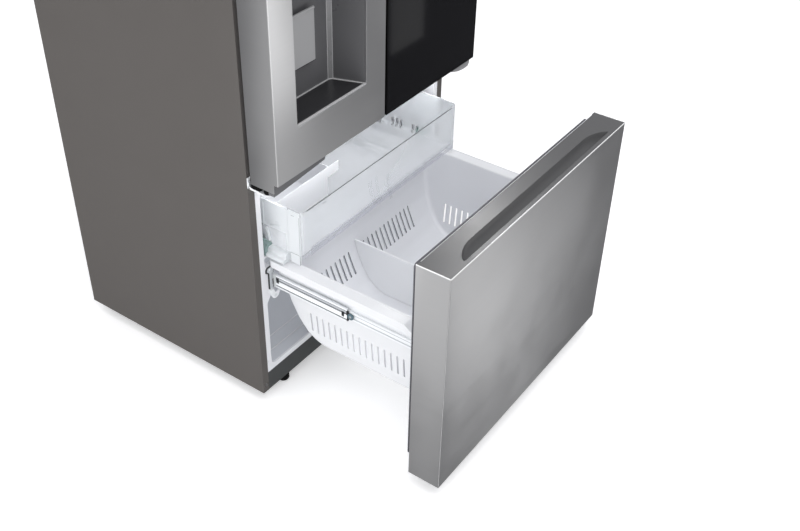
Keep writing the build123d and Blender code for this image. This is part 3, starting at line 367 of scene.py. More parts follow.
class Geo:
    """Vertices in cabinet millimetres, faces, and a material number for each face."""

    def __init__(self):
        self.v, self.f, self.m, self.k = [], [], [], 0

    def add(self, verts, faces):
        n = len(self.v)
        self.v += [tuple(p) for p in verts]
        self.f += [tuple(i + n for i in f) for f in faces]
        self.m += [self.k] * len(faces)
        return self

    def mat(self, k):
        self.k = k
        return self

    def prism(self, pts, axis, a, b, holes=()):
        """An outline with holes, extruded along an axis between a and b."""
        put = {"x": lambda p, w: (w, p[0], p[1]), "y": lambda p, w: (p[0], w, p[1]), "z": lambda p, w: (p[0], p[1], w)}[axis]
        loops = [list(pts)] + [list(h) for h in holes]
        flat = [p for l in loops for p in l]
        n = len(flat)
        verts = [put(p, a) for p in flat] + [put(p, b) for p in flat]
        if holes:
            tri = tessellate_polygon([[Vector((p[0], p[1], 0.0)) for p in l] for l in loops])
            faces = [tuple(t) for t in tri] + [tuple(i + n for i in t) for t in tri]
        else:
            faces = [tuple(range(n)), tuple(range(n, 2 * n))]
        k = 0
        for l in loops:
            m = len(l)
            for i in range(m):
                j = (i + 1) % m
                faces.append((k + i, k + j, n + k + j, n + k + i))
            k += m
        return self.add(verts, faces)

    def box(self, x0, x1, y0, y1, z0, z1):
        return self.prism(rect(x0, x1, z0, z1), "y", y0, y1)

    def loft(self, rings, cap=True, closed=True, ring_closed=True):
        """Rings of equal length joined in order."""
        n = len(rings[0])
        faces = []
        last = len(rings) if (closed and not cap) else len(rings) - 1
        for i in range(last):
            j = (i + 1) % len(rings)
            for a in range(n if ring_closed else n - 1):
                b = (a + 1) % n
                faces.append((i * n + a, i * n + b, j * n + b, j * n + a))
        if cap:
            faces.append(tuple(range(n)))
            faces.append(tuple(range((len(rings) - 1) * n, len(rings) * n)))
        return self.add([p for r in rings for p in r], faces)

    def lathe(self, prof, axis, c, n=32):
        """Closed profile of (radius, position along the axis) turned about an axis through c."""
        rings = []
        for i in range(n):
            t = 2 * math.pi * i / n
            cs, sn = math.cos(t), math.sin(t)
            ring = []
            for r, w in prof:
                if axis == "x":
                    ring.append((w, c[0] + r * cs, c[1] + r * sn))
                elif axis == "y":
                    ring.append((c[0] + r * cs, w, c[1] + r * sn))
                else:
                    ring.append((c[0] + r * cs, c[1] + r * sn, w))
            rings.append(ring)
        return self.loft(rings, cap=False)

    def tube(self, path, r, n=10):
        """Round bar along a path."""
        pts = [Vector(p) for p in path]
        rings = []
        up = Vector((0.13, 0.31, 0.94)).normalized()
        for i, p in enumerate(pts):
            t = (pts[min(i + 1, len(pts) - 1)] - pts[max(i - 1, 0)]).normalized()
            a = t.cross(up).normalized()
            b = t.cross(a).normalized()
            rings.append([tuple(p + (a * math.cos(2 * math.pi * k / n) + b * math.sin(2 * math.pi * k / n)) * r) for k in range(n)])
        return self.loft(rings)

    def frame(self, x0, x1, z0, z1, r, section, seg=5):
        """A closed section of (outwards, y) swept round an upright rounded rectangle."""
        base = rect(x0, x1, z0, z1, r, seg)
        n = len(base)
        rings = []
        for i in range(n):
            a, b, c = Vector(base[i - 1]), Vector(base[i]), Vector(base[(i + 1) % n])
            d1, d2 = (b - a).normalized(), (c - b).normalized()
            n1, n2 = Vector((d1.y, -d1.x)), Vector((d2.y, -d2.x))
            m = (n1 + n2).normalized()
            m /= max(0.5, m.dot(n1))
            rings.append([(b.x + m.x * o, y, b.y + m.y * o) for o, y in section])
        return self.loft(rings, cap=False)

    def frame_flat(self, x0, x1, y0, y1, r, z0, z1, w):
        """A low rib of width w round a rounded rectangle on a floor."""
        return self.prism(rect(x0, x1, y0, y1, r, 6), "z", z0, z1, [rect(x0 + w, x1 - w, y0 + w, y1 - w, r - w, 6)])

    def take(self, o):
        """Adds an object's mesh."""
        me = o.data
        self.add([(p.co.x * 1000, p.co.y * 1000 - YS, p.co.z * 1000) for p in me.vertices], [tuple(f.vertices) for f in me.polygons])
        self.m[len(self.m) - len(me.polygons):] = [f.material_index for f in me.polygons]
        return self

    def paint(self, test, k):
        """Gives material k to the faces whose centre passes the test."""
        for i, f in enumerate(self.f):
            c = [sum(self.v[j][a] for j in f) / len(f) for a in range(3)]
            if test(*c):
                self.m[i] = k
        return self

    def mirror(self):
        """Adds the same geometry on the other side, x to -x."""
        n = len(self.v)
        nf = len(self.f)
        self.v += [(-x, y, z) for x, y, z in self.v]
        self.f += [tuple(reversed([i + n for i in f])) for f in self.f[:nf]]
        self.m += self.m[:nf]
        return self

    def warp(self, fn):
        self.v = [fn(*p) for p in self.v]
        return self


def mesh_of(geo, name="scratch", weld=0.0):
    me = bpy.data.meshes.new(name)
    me.from_pydata([P(*p) for p in geo.v], [], geo.f)
    for poly, m in zip(me.polygons, geo.m):
        poly.material_index = m
    bm = bmesh.new()
    bm.from_mesh(me)
    if weld:
        bmesh.ops.remove_doubles(bm, verts=bm.verts, dist=weld * 0.001)
        bmesh.ops.dissolve_degenerate(bm, edges=bm.edges, dist=weld * 0.0005)
    bmesh.ops.recalc_face_normals(bm, faces=bm.faces)
    bm.to_mesh(me)
    bm.free()
    return me


def bake(o):
    """The object's modifiers become its mesh."""
    dg = bpy.context.evaluated_depsgraph_get()
    me = bpy.data.meshes.new_from_object(o.evaluated_get(dg), depsgraph=dg)
    old = o.data
    o.modifiers.clear()
    o.data = me
    bpy.data.meshes.remove(old)
    return o


def scratch(me):
    while len(me.materials) < 4:
        me.materials.append(None)
    o = bpy.data.objects.new("scratch", me)
    COLL.objects.link(o)
    return o


def drop(*objs):
    for o in objs:
        me = o.data
        bpy.data.objects.remove(o)
        bpy.data.meshes.remove(me)


def cut(o, geo):
    """Takes the geo's closed solids out of the object, exactly."""
    c = scratch(mesh_of(geo, "cutter"))
    m = o.modifiers.new("cut", "BOOLEAN")
    m.operation = "DIFFERENCE"
    m.solver = "EXACT"
    m.object = c
    bake(o)
    drop(c)
    return o


def tub(prof, xl, xr, edge, wall, seg=4, outwards=False):
    """An open moulded tub: a (y, z) profile whose two ends are the open side, between
    xl(z) and xr(z), with rounded side edges and an even wall."""
    n = len(prof)
    turn = sum(prof[i][0] * prof[(i + 1) % n][1] - prof[(i + 1) % n][0] * prof[i][1] for i in range(n))
    side = 1.0 if turn > 0 else -1.0
    inset = []
    for i, (y, z) in enumerate(prof):
        a = Vector(prof[max(i - 1, 0)])
        b = Vector(prof[min(i + 1, n - 1)])
        t = (b - a).normalized()
        m = Vector((-t.y, t.x)) * side
        if i in (0, n - 1):
            m = (Vector(prof[n - 1 - i]) - Vector((y, z))).normalized()
        else:
            d = (Vector((y, z)) - a).normalized()
            m /= max(0.6, m.dot(Vector((-d.y, d.x)) * side))
        inset.append(m)
    bm = bmesh.new()
    rings = []
    for (y, z), m in zip(prof, inset):
        half = []
        for k in range(seg + 1):
            w = math.pi / 2 * k / seg
            dx, dn = edge * (1 - math.cos(w)), edge * (1 - math.sin(w))
            half.append((dx, y + m.x * dn, z + m.y * dn))
        rings.append([bm.verts.new(P(xl(v) + dx, u, v)) for dx, u, v in half] + [bm.verts.new(P(xr(v) - dx, u, v)) for dx, u, v in reversed(half)])
    for i in range(n - 1):
        for k in range(2 * seg + 1):
            bm.faces.new((rings[i][k], rings[i + 1][k], rings[i + 1][k + 1], rings[i][k + 1]))
    bm.faces.new([r[0] for r in reversed(rings)])
    bm.faces.new([r[-1] for r in rings])
    cx = 0.5 * (xl(prof[0][1]) + xr(prof[0][1])) * 0.001
    mid = Vector((cx, sum(P(0, *p).y for p in prof) / n, sum(p[1] for p in prof) / n * 0.001))
    bm.normal_update()
    big = max(bm.faces, key=lambda f: f.calc_area())
    if (big.calc_center_median() - mid).dot(big.normal) < 0:
        bmesh.ops.reverse_faces(bm, faces=bm.faces)
    me = bpy.data.meshes.new("tub")
    bm.to_mesh(me)
    bm.free()
    o = scratch(me)
    s = o.modifiers.new("wall", "SOLIDIFY")
    s.thickness = wall * 0.001
    s.offset = 1.0 if outwards else -1.0
    s.use_even_offset = True
    # inner faces take the next material slot; the basket and ice bucket put the painted-shade darker white there
    s.material_offset = 1
    return bake(o)


def piece(name, geo, mats, body, replaces=(), bevel=0.0, seg=2, angle=32, smooth=38, weld=0.0, clamp=True):
    """A finished piece: mesh, materials, rounded edges, the body that it rides on."""
    me = mesh_of(geo, name, weld)
    for k in ([mats] if isinstance(mats, str) else mats):
        me.materials.append(MAT[k])
    me.shade_smooth()
    me.set_sharp_from_angle(angle=math.radians(smooth))
    o = bpy.data.objects.new(name, me)
    COLL.objects.link(o)
    if bevel:
        b = o.modifiers.new("edge", "BEVEL")
        b.width = bevel * 0.001
        b.segments = seg
        b.limit_method = "ANGLE"
        b.angle_limit = math.radians(angle)
        b.harden_normals = True
        b.use_clamp_overlap = clamp
    if body in ("freezer_drawer", "freezer_tray", "rail_middle"):
        o.visible_glossy = False
    if name in ("tray", "tray_painted_edge_shade"):
        o.visible_shadow = False
    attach(o, body)
    if replaces:
        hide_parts(*replaces)
    return o


def sliced(geo, axis, values):
    """The same geometry with extra edge loops where it crosses planes."""
    bm = bmesh.new()
    me = mesh_of(geo)
    bm.from_mesh(me)
    bpy.data.meshes.remove(me)
    k = "xyz".index(axis)
    for v in values:
        co = P(*(v if i == k else 0.0 for i in range(3)))
        no = Vector((0, 0, 0))
        no[k] = 1.0
        bmesh.ops.bisect_plane(bm, geom=bm.verts[:] + bm.edges[:] + bm.faces[:], dist=1e-7, plane_co=co, plane_no=no)
    g = Geo()
    bm.verts.index_update()
    g.v = [(p.co.x * 1000, p.co.y * 1000 - YS, p.co.z * 1000) for p in bm.verts]
    g.f = [tuple(p.index for p in f.verts) for f in bm.faces]
    g.m = [f.material_index for f in bm.faces]
    bm.free()
    return g


def ease(t):
    t = max(0.0, min(1.0, t))
    return t * t * (3 - 2 * t)


# ---------------------------------------------------------- freezer basket
def half_width(z):
    return 338 + (z - 213) * 25.2 / 294


def make_basket():
    prof = rounded([(-499, 506), (-493, 214), (-135, 214), (-105, 226), (-78, 247), (-50, 288), (-26, 345), (-14, 400), (-8, 506)],
                   [0, 18, 70, 60, 60, 80, 90, 90, 0], 8, closed=False)
    o = tub(prof, lambda z: -half_width(z), half_width, 16, 2.5, seg=6)
    # slot cutters carry painted-shade wall colours: grey for the side slots, dark for the back slots
    g = Geo().mat(3)
    for i in range(16):
        g.prism(slot_outline(-267 + 21.5 * (i - 7.5), 299, 6, 70), "x", -400, 400)
    g.mat(2)
    for x0, n in ((-224, 8), (2, 12)):
        for i in range(n):
            low = max(338 - 20 * i, 282)
            g.prism(slot_outline(x0 + 21.5 * i, (352 + low) / 2, 7, 352 - low), "y", -95, 5)
    cut(o, g)
    b = Geo().take(o)
    drop(o)
    outer = rect(-400, 400, -503, -3, 14, 6)
    b.prism(rect(-398.6, 398.6, -501.6, -4.4, 13, 6), "z", 506, 509, [rect(-361.2, 361.2, -496.6, -10.2, 28, 8)])
    b.prism(outer, "z", 488, 510, [rect(-397.8, 397.8, -500.8, -5.2, 12, 6)])
    b.prism(rect(-366, 366, -499.6, -6.6, 31, 8), "z", 508.9, 510, [rect(-363.4, 363.4, -498.0, -8.6, 29, 8)])
    b = sliced(b, "y", (-500, -490, -482, -474, -466, -458))

    def dip(x, y, z):
        return (x, y, z - 15 * ease((-456 - y) / 30) * ease((z - 470) / 20)) if y < -456 and z > 470 else (x, y, z)

    b.warp(dip)
    # inner faces in the painted-shade darker white
    piece("basket", b, ["white", "white_in_painted_shade", "slot_wall_painted_shade_dark", "slot_grey_painted_shade"], "freezer_drawer", ["freezer_basket"], smooth=30)


def make_divider():
    d = Geo().prism(rounded([(-489.5, 217.4), (-136, 217.4), (-107, 229.4), (-80.8, 250.2), (-53.6, 290.6), (-30, 347), (-23, 376), (-486, 376)],
                            [8, 60, 50, 50, 60, 40, 4, 4]), "x", -36, -33)
    d.prism(rect(-486.5, -23.5, 372.5, 378, 2.4, 4), "x", -37.6, -31.4)
    piece("basket_wall", d, "white", "freezer_drawer", ["basket_divider"], bevel=1.1, seg=3)


# ------------------------------------------------------------ sliding tray
def make_tray():
    prof = rounded([(-110, 690), (-104, 548), (-92, 535), (300, 535), (300, 690)], [0, 14, 18, 24, 0], 6, closed=False)
    o = tub(prof, lambda z: -373.0, lambda z: 373.0, 12, 2.4, seg=5)
    # slot cutters carry the painted-shade dark wall colour
    g = Geo().mat(2)
    for y in (32, 49, 95, 112, 129, 176, 193, 210):
        for s in (-1, 1):
            g.prism(slot_outline(y, 552, 6, 28), "x", s * 360, s * 380)
    cut(o, g)
    piece("tray", Geo().take(o), ["tray", "tray", "slot_wall_painted_shade_dark"], "freezer_tray", ["freezer_tray"], smooth=35)
    drop(o)
    f = Geo()
    f.prism(rect(-103, -62, 519.4, 689, 5, 4), "x", 373.2, 376)
    f.prism(rect(-60.5, -52, 548, 686, 3, 4), "x", 373.2, 374.6)
    f.prism(rect(-60, 298, 604, 686, 4, 4), "x", 373.2, 374.4)
    f.box(373.2, 378, -60, 298, 685.5, 690)
    f.prism([(-34, 622.6), (3, 610.0), (3, 611.6), (-34, 624.2)], "x", 374.2, 376.4)
    f.prism(rounded([(370.8, 545), (370.8, 518.6), (400, 518.6), (400, 529), (391, 531), (391, 541), (386, 545)], [1, 1, 1, 3, 2, 3, 2], 3), "y", -61, 3)
    f.prism(rounded([(370.8, 545), (370.8, 518.6), (400, 518.6), (400, 521.2), (376, 521.2), (376, 545)], [1, 1, 1, 1, 1, 1], 2), "y", 40, 298)
    for y in (22, 74, 126, 178, 230, 282):
        f.box(374.2, 381, y - 1, y + 1, 606.5, 685)
    for y in (74, 126, 178, 230, 282):
        f.box(373.2, 388, y - 1, y + 1, 521.2, 600)
    f.prism([(3.2, 560.0), (7.0, 560.0), (17.0, 598.0), (13.2, 598.0)], "x", 373.2, 380)
    # teal block as painted shade for the dark gap behind the basket flange
    f.mat(1).prism(rounded([(370.8, 552), (370.8, 518.6), (400, 518.6), (400, 540), (392, 552)], [1, 1, 2, 3, 3], 3), "y", 3, 40)
    f.mirror()
    f.mat(0).box(-366, 366, 298.4, 300, 684, 690)
    piece("tray_guides", f, ["tray_frost", "painted_shade_teal"], "freezer_tray", bevel=0.5, seg=2)
    # painted shade on the tray: a dark top front edge, grey corner lines, faint lilac streaks and a lower lilac band
    e = Geo()
    e.prism(rect(-110.8, -107.0, 687.6, 690.0, 1.1, 3), "x", -352, 345)
    e.box(-376.6, -375.8, -101.0, -99.6, 520, 551)
    e.mat(1).box(-376.5, -375.8, -101.0, -99.8, 551, 676)
    e.mat(1).box(-376.6, -375.8, -67.0, -65.8, 500 + 19.5, 551)
    e.mat(1).box(-376.6, -375.8, -100, -66, 550.2, 551.4)
    e.mat(1).box(-376.4, -375.8, -84, -74, 674, 675.6)
    e.mat(2).prism(rounded([(-109.0, 536), (-107.6, 536), (-109.6, 566), (-110.6, 566)], 0.4, 3), "x", -340, 366)
    e.mat(2).prism(rounded([(-108.4, 538), (-107.2, 538), (-108.8, 550), (-109.8, 550)], 0.4, 3), "x", -366, 366)
    for k, (xt, xb) in enumerate(((-83, -52), (-76, -45), (-69, -38), (-50, -24), (-42, -16), (8, 28), (15, 35))):
        e.mat(2).loft([[(xt + (xb - xt) * t ** 1.6 + w, y, 640 - 95 * t - (20 if k > 4 else 0)) for w, y in ((0, -110.4), (2.2, -110.4), (2.2, -109.4), (0, -109.4))]
                       for t in [i / 8 for i in range(9)]])
    e.mat(1).box(-286, -273, -110.8, -110.0, 677, 679)
    piece("tray_painted_edge_shade", e, ["tray_painted_edge_shade", "tray_painted_shade_line", "tray_painted_shade_band"], "freezer_tray", bevel=0.25, seg=2)


def make_ice_bin():
    prof = rounded([(30, 640), (30, 537.8), (292, 537.8), (292, 640)], [0, 9, 9, 0], 5, closed=False)
    o = tub(prof, lambda z: -369.0 + (640 - z) * 0.03, lambda z: -84.0 - (640 - z) * 0.03, 8, 2.4)
    b = Geo().take(o)
    drop(o)
    b.prism(rounded([(-112, 640), (-40, 640), (-40, 609), (-86, 606), (-112, 606)], [0, 1.5, 2.0, 0.5, 0], 3), "y", 29.9, 32.6)
    b.prism(rounded([(-86, 640), (-40, 640), (-40, 609), (-86, 607)], [0, 1.5, 2.0, 0], 3), "y", 289.4, 292)
    # inner faces in the painted-shade darker white
    piece("ice_bucket", b, ["white", "white_in_painted_shade"], "freezer_tray", ["ice_bin"], bevel=0.6, seg=2)


# ------------------------------------------------------------------- rails
def make_rails():
    # the middle member's profile in bands of painted highlight, painted shade and grey
    c = Geo()
    c.mat(1).prism(rounded([(375.4, 449.2), (381.6, 449.2), (382.9, 447.6), (382.9, 443.6), (379.9, 443.6), (379.9, 442.6), (375.4, 442.6)],
                           [1.0, 1.4, 1.4, 0.4, 0, 0, 0.5], 5), "y", -262, 238)
    c.mat(2).prism([(379.9, 443.8), (381.3, 443.8), (381.3, 440.6), (379.9, 440.6)], "y", -261.8, 237.8)
    c.mat(3).prism([(379.9, 440.6), (381.9, 440.6), (381.9, 434.4), (379.9, 434.4)], "y", -262, 238)
    c.mat(2).prism([(379.9, 434.4), (380.9, 434.4), (380.9, 429.4), (379.9, 429.4)], "y", -261.8, 237.8)
    c.mat(1).prism(rounded([(379.9, 429.4), (382.9, 429.4), (382.9, 415.0), (379.9, 415.0)], [0, 1.2, 1.2, 0], 5), "y", -262, 238)
    c.mat(2).prism([(379.9, 415.2), (381.0, 415.2), (381.0, 410.4), (379.9, 410.4)], "y", -261.8, 237.8)
    c.mat(4).prism(rounded([(375.4, 404.8), (381.4, 404.8), (382.9, 406.0), (382.9, 410.4), (379.9, 410.4), (379.9, 411.4), (375.4, 411.4)],
                           [1.0, 1.4, 1.4, 0.4, 0, 0, 0.5], 5), "y", -262, 238)
    c.mat(0).box(382.7, 383.15, -12.4, -2.6, 405.4, 449.0)
    c.mat(5).box(382.7, 383.2, -22.6, -13.4, 424.0, 441.0)
    c.mirror()
    piece("rail_middle", c, ["zinc_light", "rail_white_and_painted_highlight", "rail_painted_shade", "rail_grey_and_painted_shade", "rail_pale_and_painted_light", "clip"], "rail_middle", ["rail_middle_members"], smooth=30)
    d = Geo()
    d.prism(rounded([(366, 412), (377, 412), (377, 419), (375.6, 420.4), (375.6, 433.6), (377, 435), (377, 442), (366, 442), (366, 440.6),
                     (374.4, 440.6), (374.4, 413.4), (366, 413.4)],
                    [0.5, 2.4, 1.6, 0.6, 0.6, 1.6, 2.4, 0.5, 0.4, 1.0, 1.0, 0.4], 5), "y", -513, -12)
    # the upper web in the pale tone lightened as painted light under the flange; the thin grey strips are painted shade
    # lines
    d.mat(1).prism(rounded([(370.6, 441.4), (369.0, 441.4), (369.0, 505.8), (370.6, 505.8)], 0.5, 3), "y", -511, -14)
    d.mat(2).prism([(375.4, 431.6), (375.9, 431.6), (375.9, 433.8), (375.4, 433.8)], "y", -512.6, -12.4)
    d.mat(2).prism([(376.6, 418.6), (377.0, 418.6), (377.0, 420.4), (375.6, 421.4)], "y", -512.6, -12.4)
    d.mat(0)
    d.prism(rounded([(377, 402), (366, 402), (366, 442), (377, 442)], 2, 4), "y", -513, -511)
    for y in (-497, -478):
        d.lathe([(0.05, 375.5), (3.4, 375.5), (3.2, 376.3), (2.2, 376.9), (0.05, 377.1)], "x", (y, 427), 20)
    for y in (-440, -300, -160, -60):
        d.lathe([(0.05, 370.4), (4.0, 370.4), (3.6, 371.6), (2.2, 372.2), (0.05, 372.4)], "x", (y, 478), 20)
    d.mirror()
    piece("rail_drawer", d, ["rail_pale_and_painted_light", "rail_pale_and_painted_light", "rail_grey_and_painted_shade"], "freezer_drawer", ["rail_drawer_members"], smooth=30)
    b = Geo()
    # the dark plate's rim round the lighter face is painted shade for the bracket's edges
    b.mat(1).prism(rounded([(383.4, 404), (401, 404), (401, 457), (404, 462.0), (410, 465), (410, 475), (404.5, 482), (377.5, 482), (373.0, 477.5), (373.0, 464), (383.4, 458)],
                           [1, 3, 3, 3, 2, 2, 2, 2, 2, 2, 2], 4), "y", -2.2, 1.0)
    b.mat(2).prism(rounded([(383.6, 404.4), (397.2, 404.4), (397.2, 458.6), (401.0, 464.6), (406.0, 468.0), (406.0, 473.4), (402.6, 478.6), (378.8, 478.6), (376.4, 475.5), (376.4, 467), (383.6, 461)],
                           [1, 2, 2, 2, 1.5, 1.5, 1.5, 1.5, 1.5, 1.5, 1.5], 4), "y", -3.0, -2.2)
    b.mat(3).prism(rounded([(385.4, 407), (393.4, 407), (393.4, 458), (385.4, 458)], 2.5, 5), "y", -3.35, -2.9)
    b.mat(0).prism(rounded([(398, 398), (384, 398), (380, 385), (373, 380), (366, 386), (360, 384), (360, 374), (366, 364), (376, 360), (388, 366), (396, 380)],
                           [2, 2, 4, 4, 4, 3, 3, 5, 6, 6, 6], 5), "y", -3.2, -1.0)
    b.mat(2).lathe([(2.4, -3.4), (4.0, -3.4), (4.6, -3.1), (4.6, -2.9), (2.4, -2.9)], "y", (378, 371), 24)
    b.mat(0).lathe([(0.05, -3.4), (2.0, -3.4), (3.4, -3.2), (4.0, -2.9), (0.05, -2.9)], "y", (395.5, 472), 20)
    b.mirror()
    piece("rail_bracket", b, ["rail_white_and_painted_highlight", "bracket_painted_shade_edge", "bracket_face", "rail_grey_and_painted_shade"], "cabinet", ["rail_brackets"], bevel=0.3, seg=2)
    k = Geo()
    k.mat(0).prism(rounded([(382.95, 418.6), (381.0, 420.6), (381.0, 434.2), (382.95, 436.2)], 0.4, 3), "y", -253, -244)
    k.box(377.4, 380.0, -262, -252, 412.0, 418.6)
    k.box(377.4, 380.0, -262, -252, 435.4, 442.0)
    k.prism(rounded([(-267, 410), (-260, 410), (-260, 444), (-267, 444)], 2, 3), "x", 379.0, 382.4)
    k.mat(1).lathe([(2.2, 377.9), (9.2, 377.9), (10.0, 378.6), (10.0, 381.8), (9.2, 382.5), (5.4, 382.5), (5.0, 382.0), (2.2, 382.0)], "x", (-273, 427), 36)
    k.mat(2).lathe([(0.05, 377.2), (2.6, 377.2), (2.6, 382.2), (3.8, 382.3), (3.4, 382.8), (0.05, 382.9)], "x", (-273, 427), 24)
    k.mirror()
    piece("rail_end_clip", k, ["clip", "roller", "zinc"], "rail_middle", ["rail_clips"], bevel=0.25, seg=2)
    s = Geo()
    s.prism(rounded([(383.2, 415), (387.8, 415), (387.8, 436), (383.2, 436)], [0.8, 1.6, 1.6, 0.8], 4), "y", -3.42, -1.2)
    s.prism(rounded([(383.2, 405), (386.2, 405), (386.2, 414), (383.2, 414)], [0.8, 1.0, 1.0, 0.8], 4), "y", -3.3, -1.2)
    s.mirror()
    piece("rail_bumper", s, "clip", "cabinet", bevel=0.5, seg=2)


# --------------------------------------------------------- compartments
def make_freezer_liner():
    prof = rounded([(1.2, 126), (380, 126), (535, 390), (600, 390), (600, 730), (1.2, 730)], [0, 40, 30, 24, 24, 0], 7, closed=False)
    o = tub(prof, lambda z: -410.0, lambda z: 410.0, 18, 1.6, seg=6, outwards=True)
    g = Geo().take(o)
    drop(o)
    g.prism(rect(-429, 429, 107, 742, 3, 3), "y", 0.2, 2.0, [rect(-410, 410, 126, 730, 17.5, 6)])
    # a thin sheet in the painted-shade darker colour laid on the cavity floor
    g.mat(2).prism(rect(-405, 405, 6, 372, 12, 5), "z", 126.0, 126.6)
    g.mat(3).frame_flat(-384, 384, 42, 340, 30, 126.5, 127.6, 3.0)
    g.mat(3).prism([(-330, 86), (330, 86), (330, 89), (-330, 89)], "z", 126.5, 127.4)
    g.mat(0)
    pad = Geo()
    pad.prism(rounded([(411, 484), (389, 484), (385, 479), (385, 390), (389, 385), (400, 371), (411, 356)], [0, 5, 3, 4, 6, 8, 0], 4), "y", 0.6, 445)
    pad.prism(rounded([(411, 511), (411, 518.1), (380, 517.6), (378, 515), (380, 512)], [0, 0, 1.5, 1.5, 1.5], 3), "y", 4, 500)
    pad.lathe([(4.2, -0.8), (8.0, -0.8), (9.0, 0.1), (9.6, 1.2), (9.6, 2.6), (4.2, 2.6)], "y", (393, 394), 28)
    for z in (560, 620):
        pad.prism(rounded([(411, z - 4), (411, z + 4), (407, z + 2), (407, z - 2)], [0, 0, 2, 2], 4), "y", 60, 560)
    pad.mirror()
    g.add(pad.v, pad.f)
    piece("freezer_inside", g, ["liner", "liner", "cavity_floor_painted_shade", "liner"], "cabinet", ["freezer_liner"], bevel=0.9, seg=3, angle=40, clamp=False)


def make_fridge_liner():
    prof = rounded([(1.2, 840), (650, 840), (650, 1700), (1.2, 1700)], [0, 26, 26, 0], 7, closed=False)
    o = tub(prof, lambda z: -405.0, lambda z: 405.0, 20, 1.6, seg=6, outwards=True)
    g = Geo().take(o)
    drop(o)
    g.prism(rect(-429, 429, 826, 1730, 3, 3), "y", 0.2, 2.0, [rect(-405, 405, 840, 1700, 19.5, 6)])
    r = Geo()
    for zt in (963, 1086, 1290, 1490):
        r.prism(rounded([(406, zt - 8), (406, zt), (391.5, zt), (390, zt - 1.5), (391, zt - 4)], [0, 0, 1.5, 1.5, 1.5], 3), "y", 130, 610)
    for z in (1000, 1160, 1360, 1570):
        r.prism(rounded([(406, z - 5), (406, z + 5), (401.5, z + 2.5), (401.5, z - 2.5)], [0, 0, 2, 2], 4), "y", 90, 610)
    r.mirror()
    g.add(r.v, r.f)
    piece("fridge_inside", g, ["liner", "liner"], "cabinet", ["fridge_liner"], bevel=0.9, seg=3, angle=40, clamp=False)


for _f in (make_basket, make_divider, make_tray, make_ice_bin, make_rails, make_freezer_liner, make_fridge_liner):
    _f()


def sweep(path, section):
    """An open path of (x, y, outward normal) with a section of (inwards, z) points."""
    g = Geo()
    return g.loft([[(x - nx * d, y - ny * d, z) for d, z in section] for x, y, nx, ny in path])


def u_path(x0, x1, y0, y1, r, seg=8):
    """Three sides round the front of a panel, with rounded front corners."""
    p = [(x0, y1, -1.0, 0.0), (x0, y0 + r, -1.0, 0.0)]
    for i in range(1, seg):
        a = math.pi / 2 * i / seg
        p.append((x0 + r - r * math.cos(a), y0 + r - r * math.sin(a), -math.cos(a), -math.sin(a)))
    p.append((x0 + r, y0, 0.0, -1.0))
    p.append((x1 - r, y0, 0.0, -1.0))
    for i in range(1, seg):
        a = math.pi / 2 * i / seg
        p.append((x1 - r + r * math.sin(a), y0 + r - r * math.cos(a), math.sin(a), -math.cos(a)))
    p += [(x1, y0 + r, 1.0, 0.0), (x1, y1, 1.0, 0.0)]
    return p


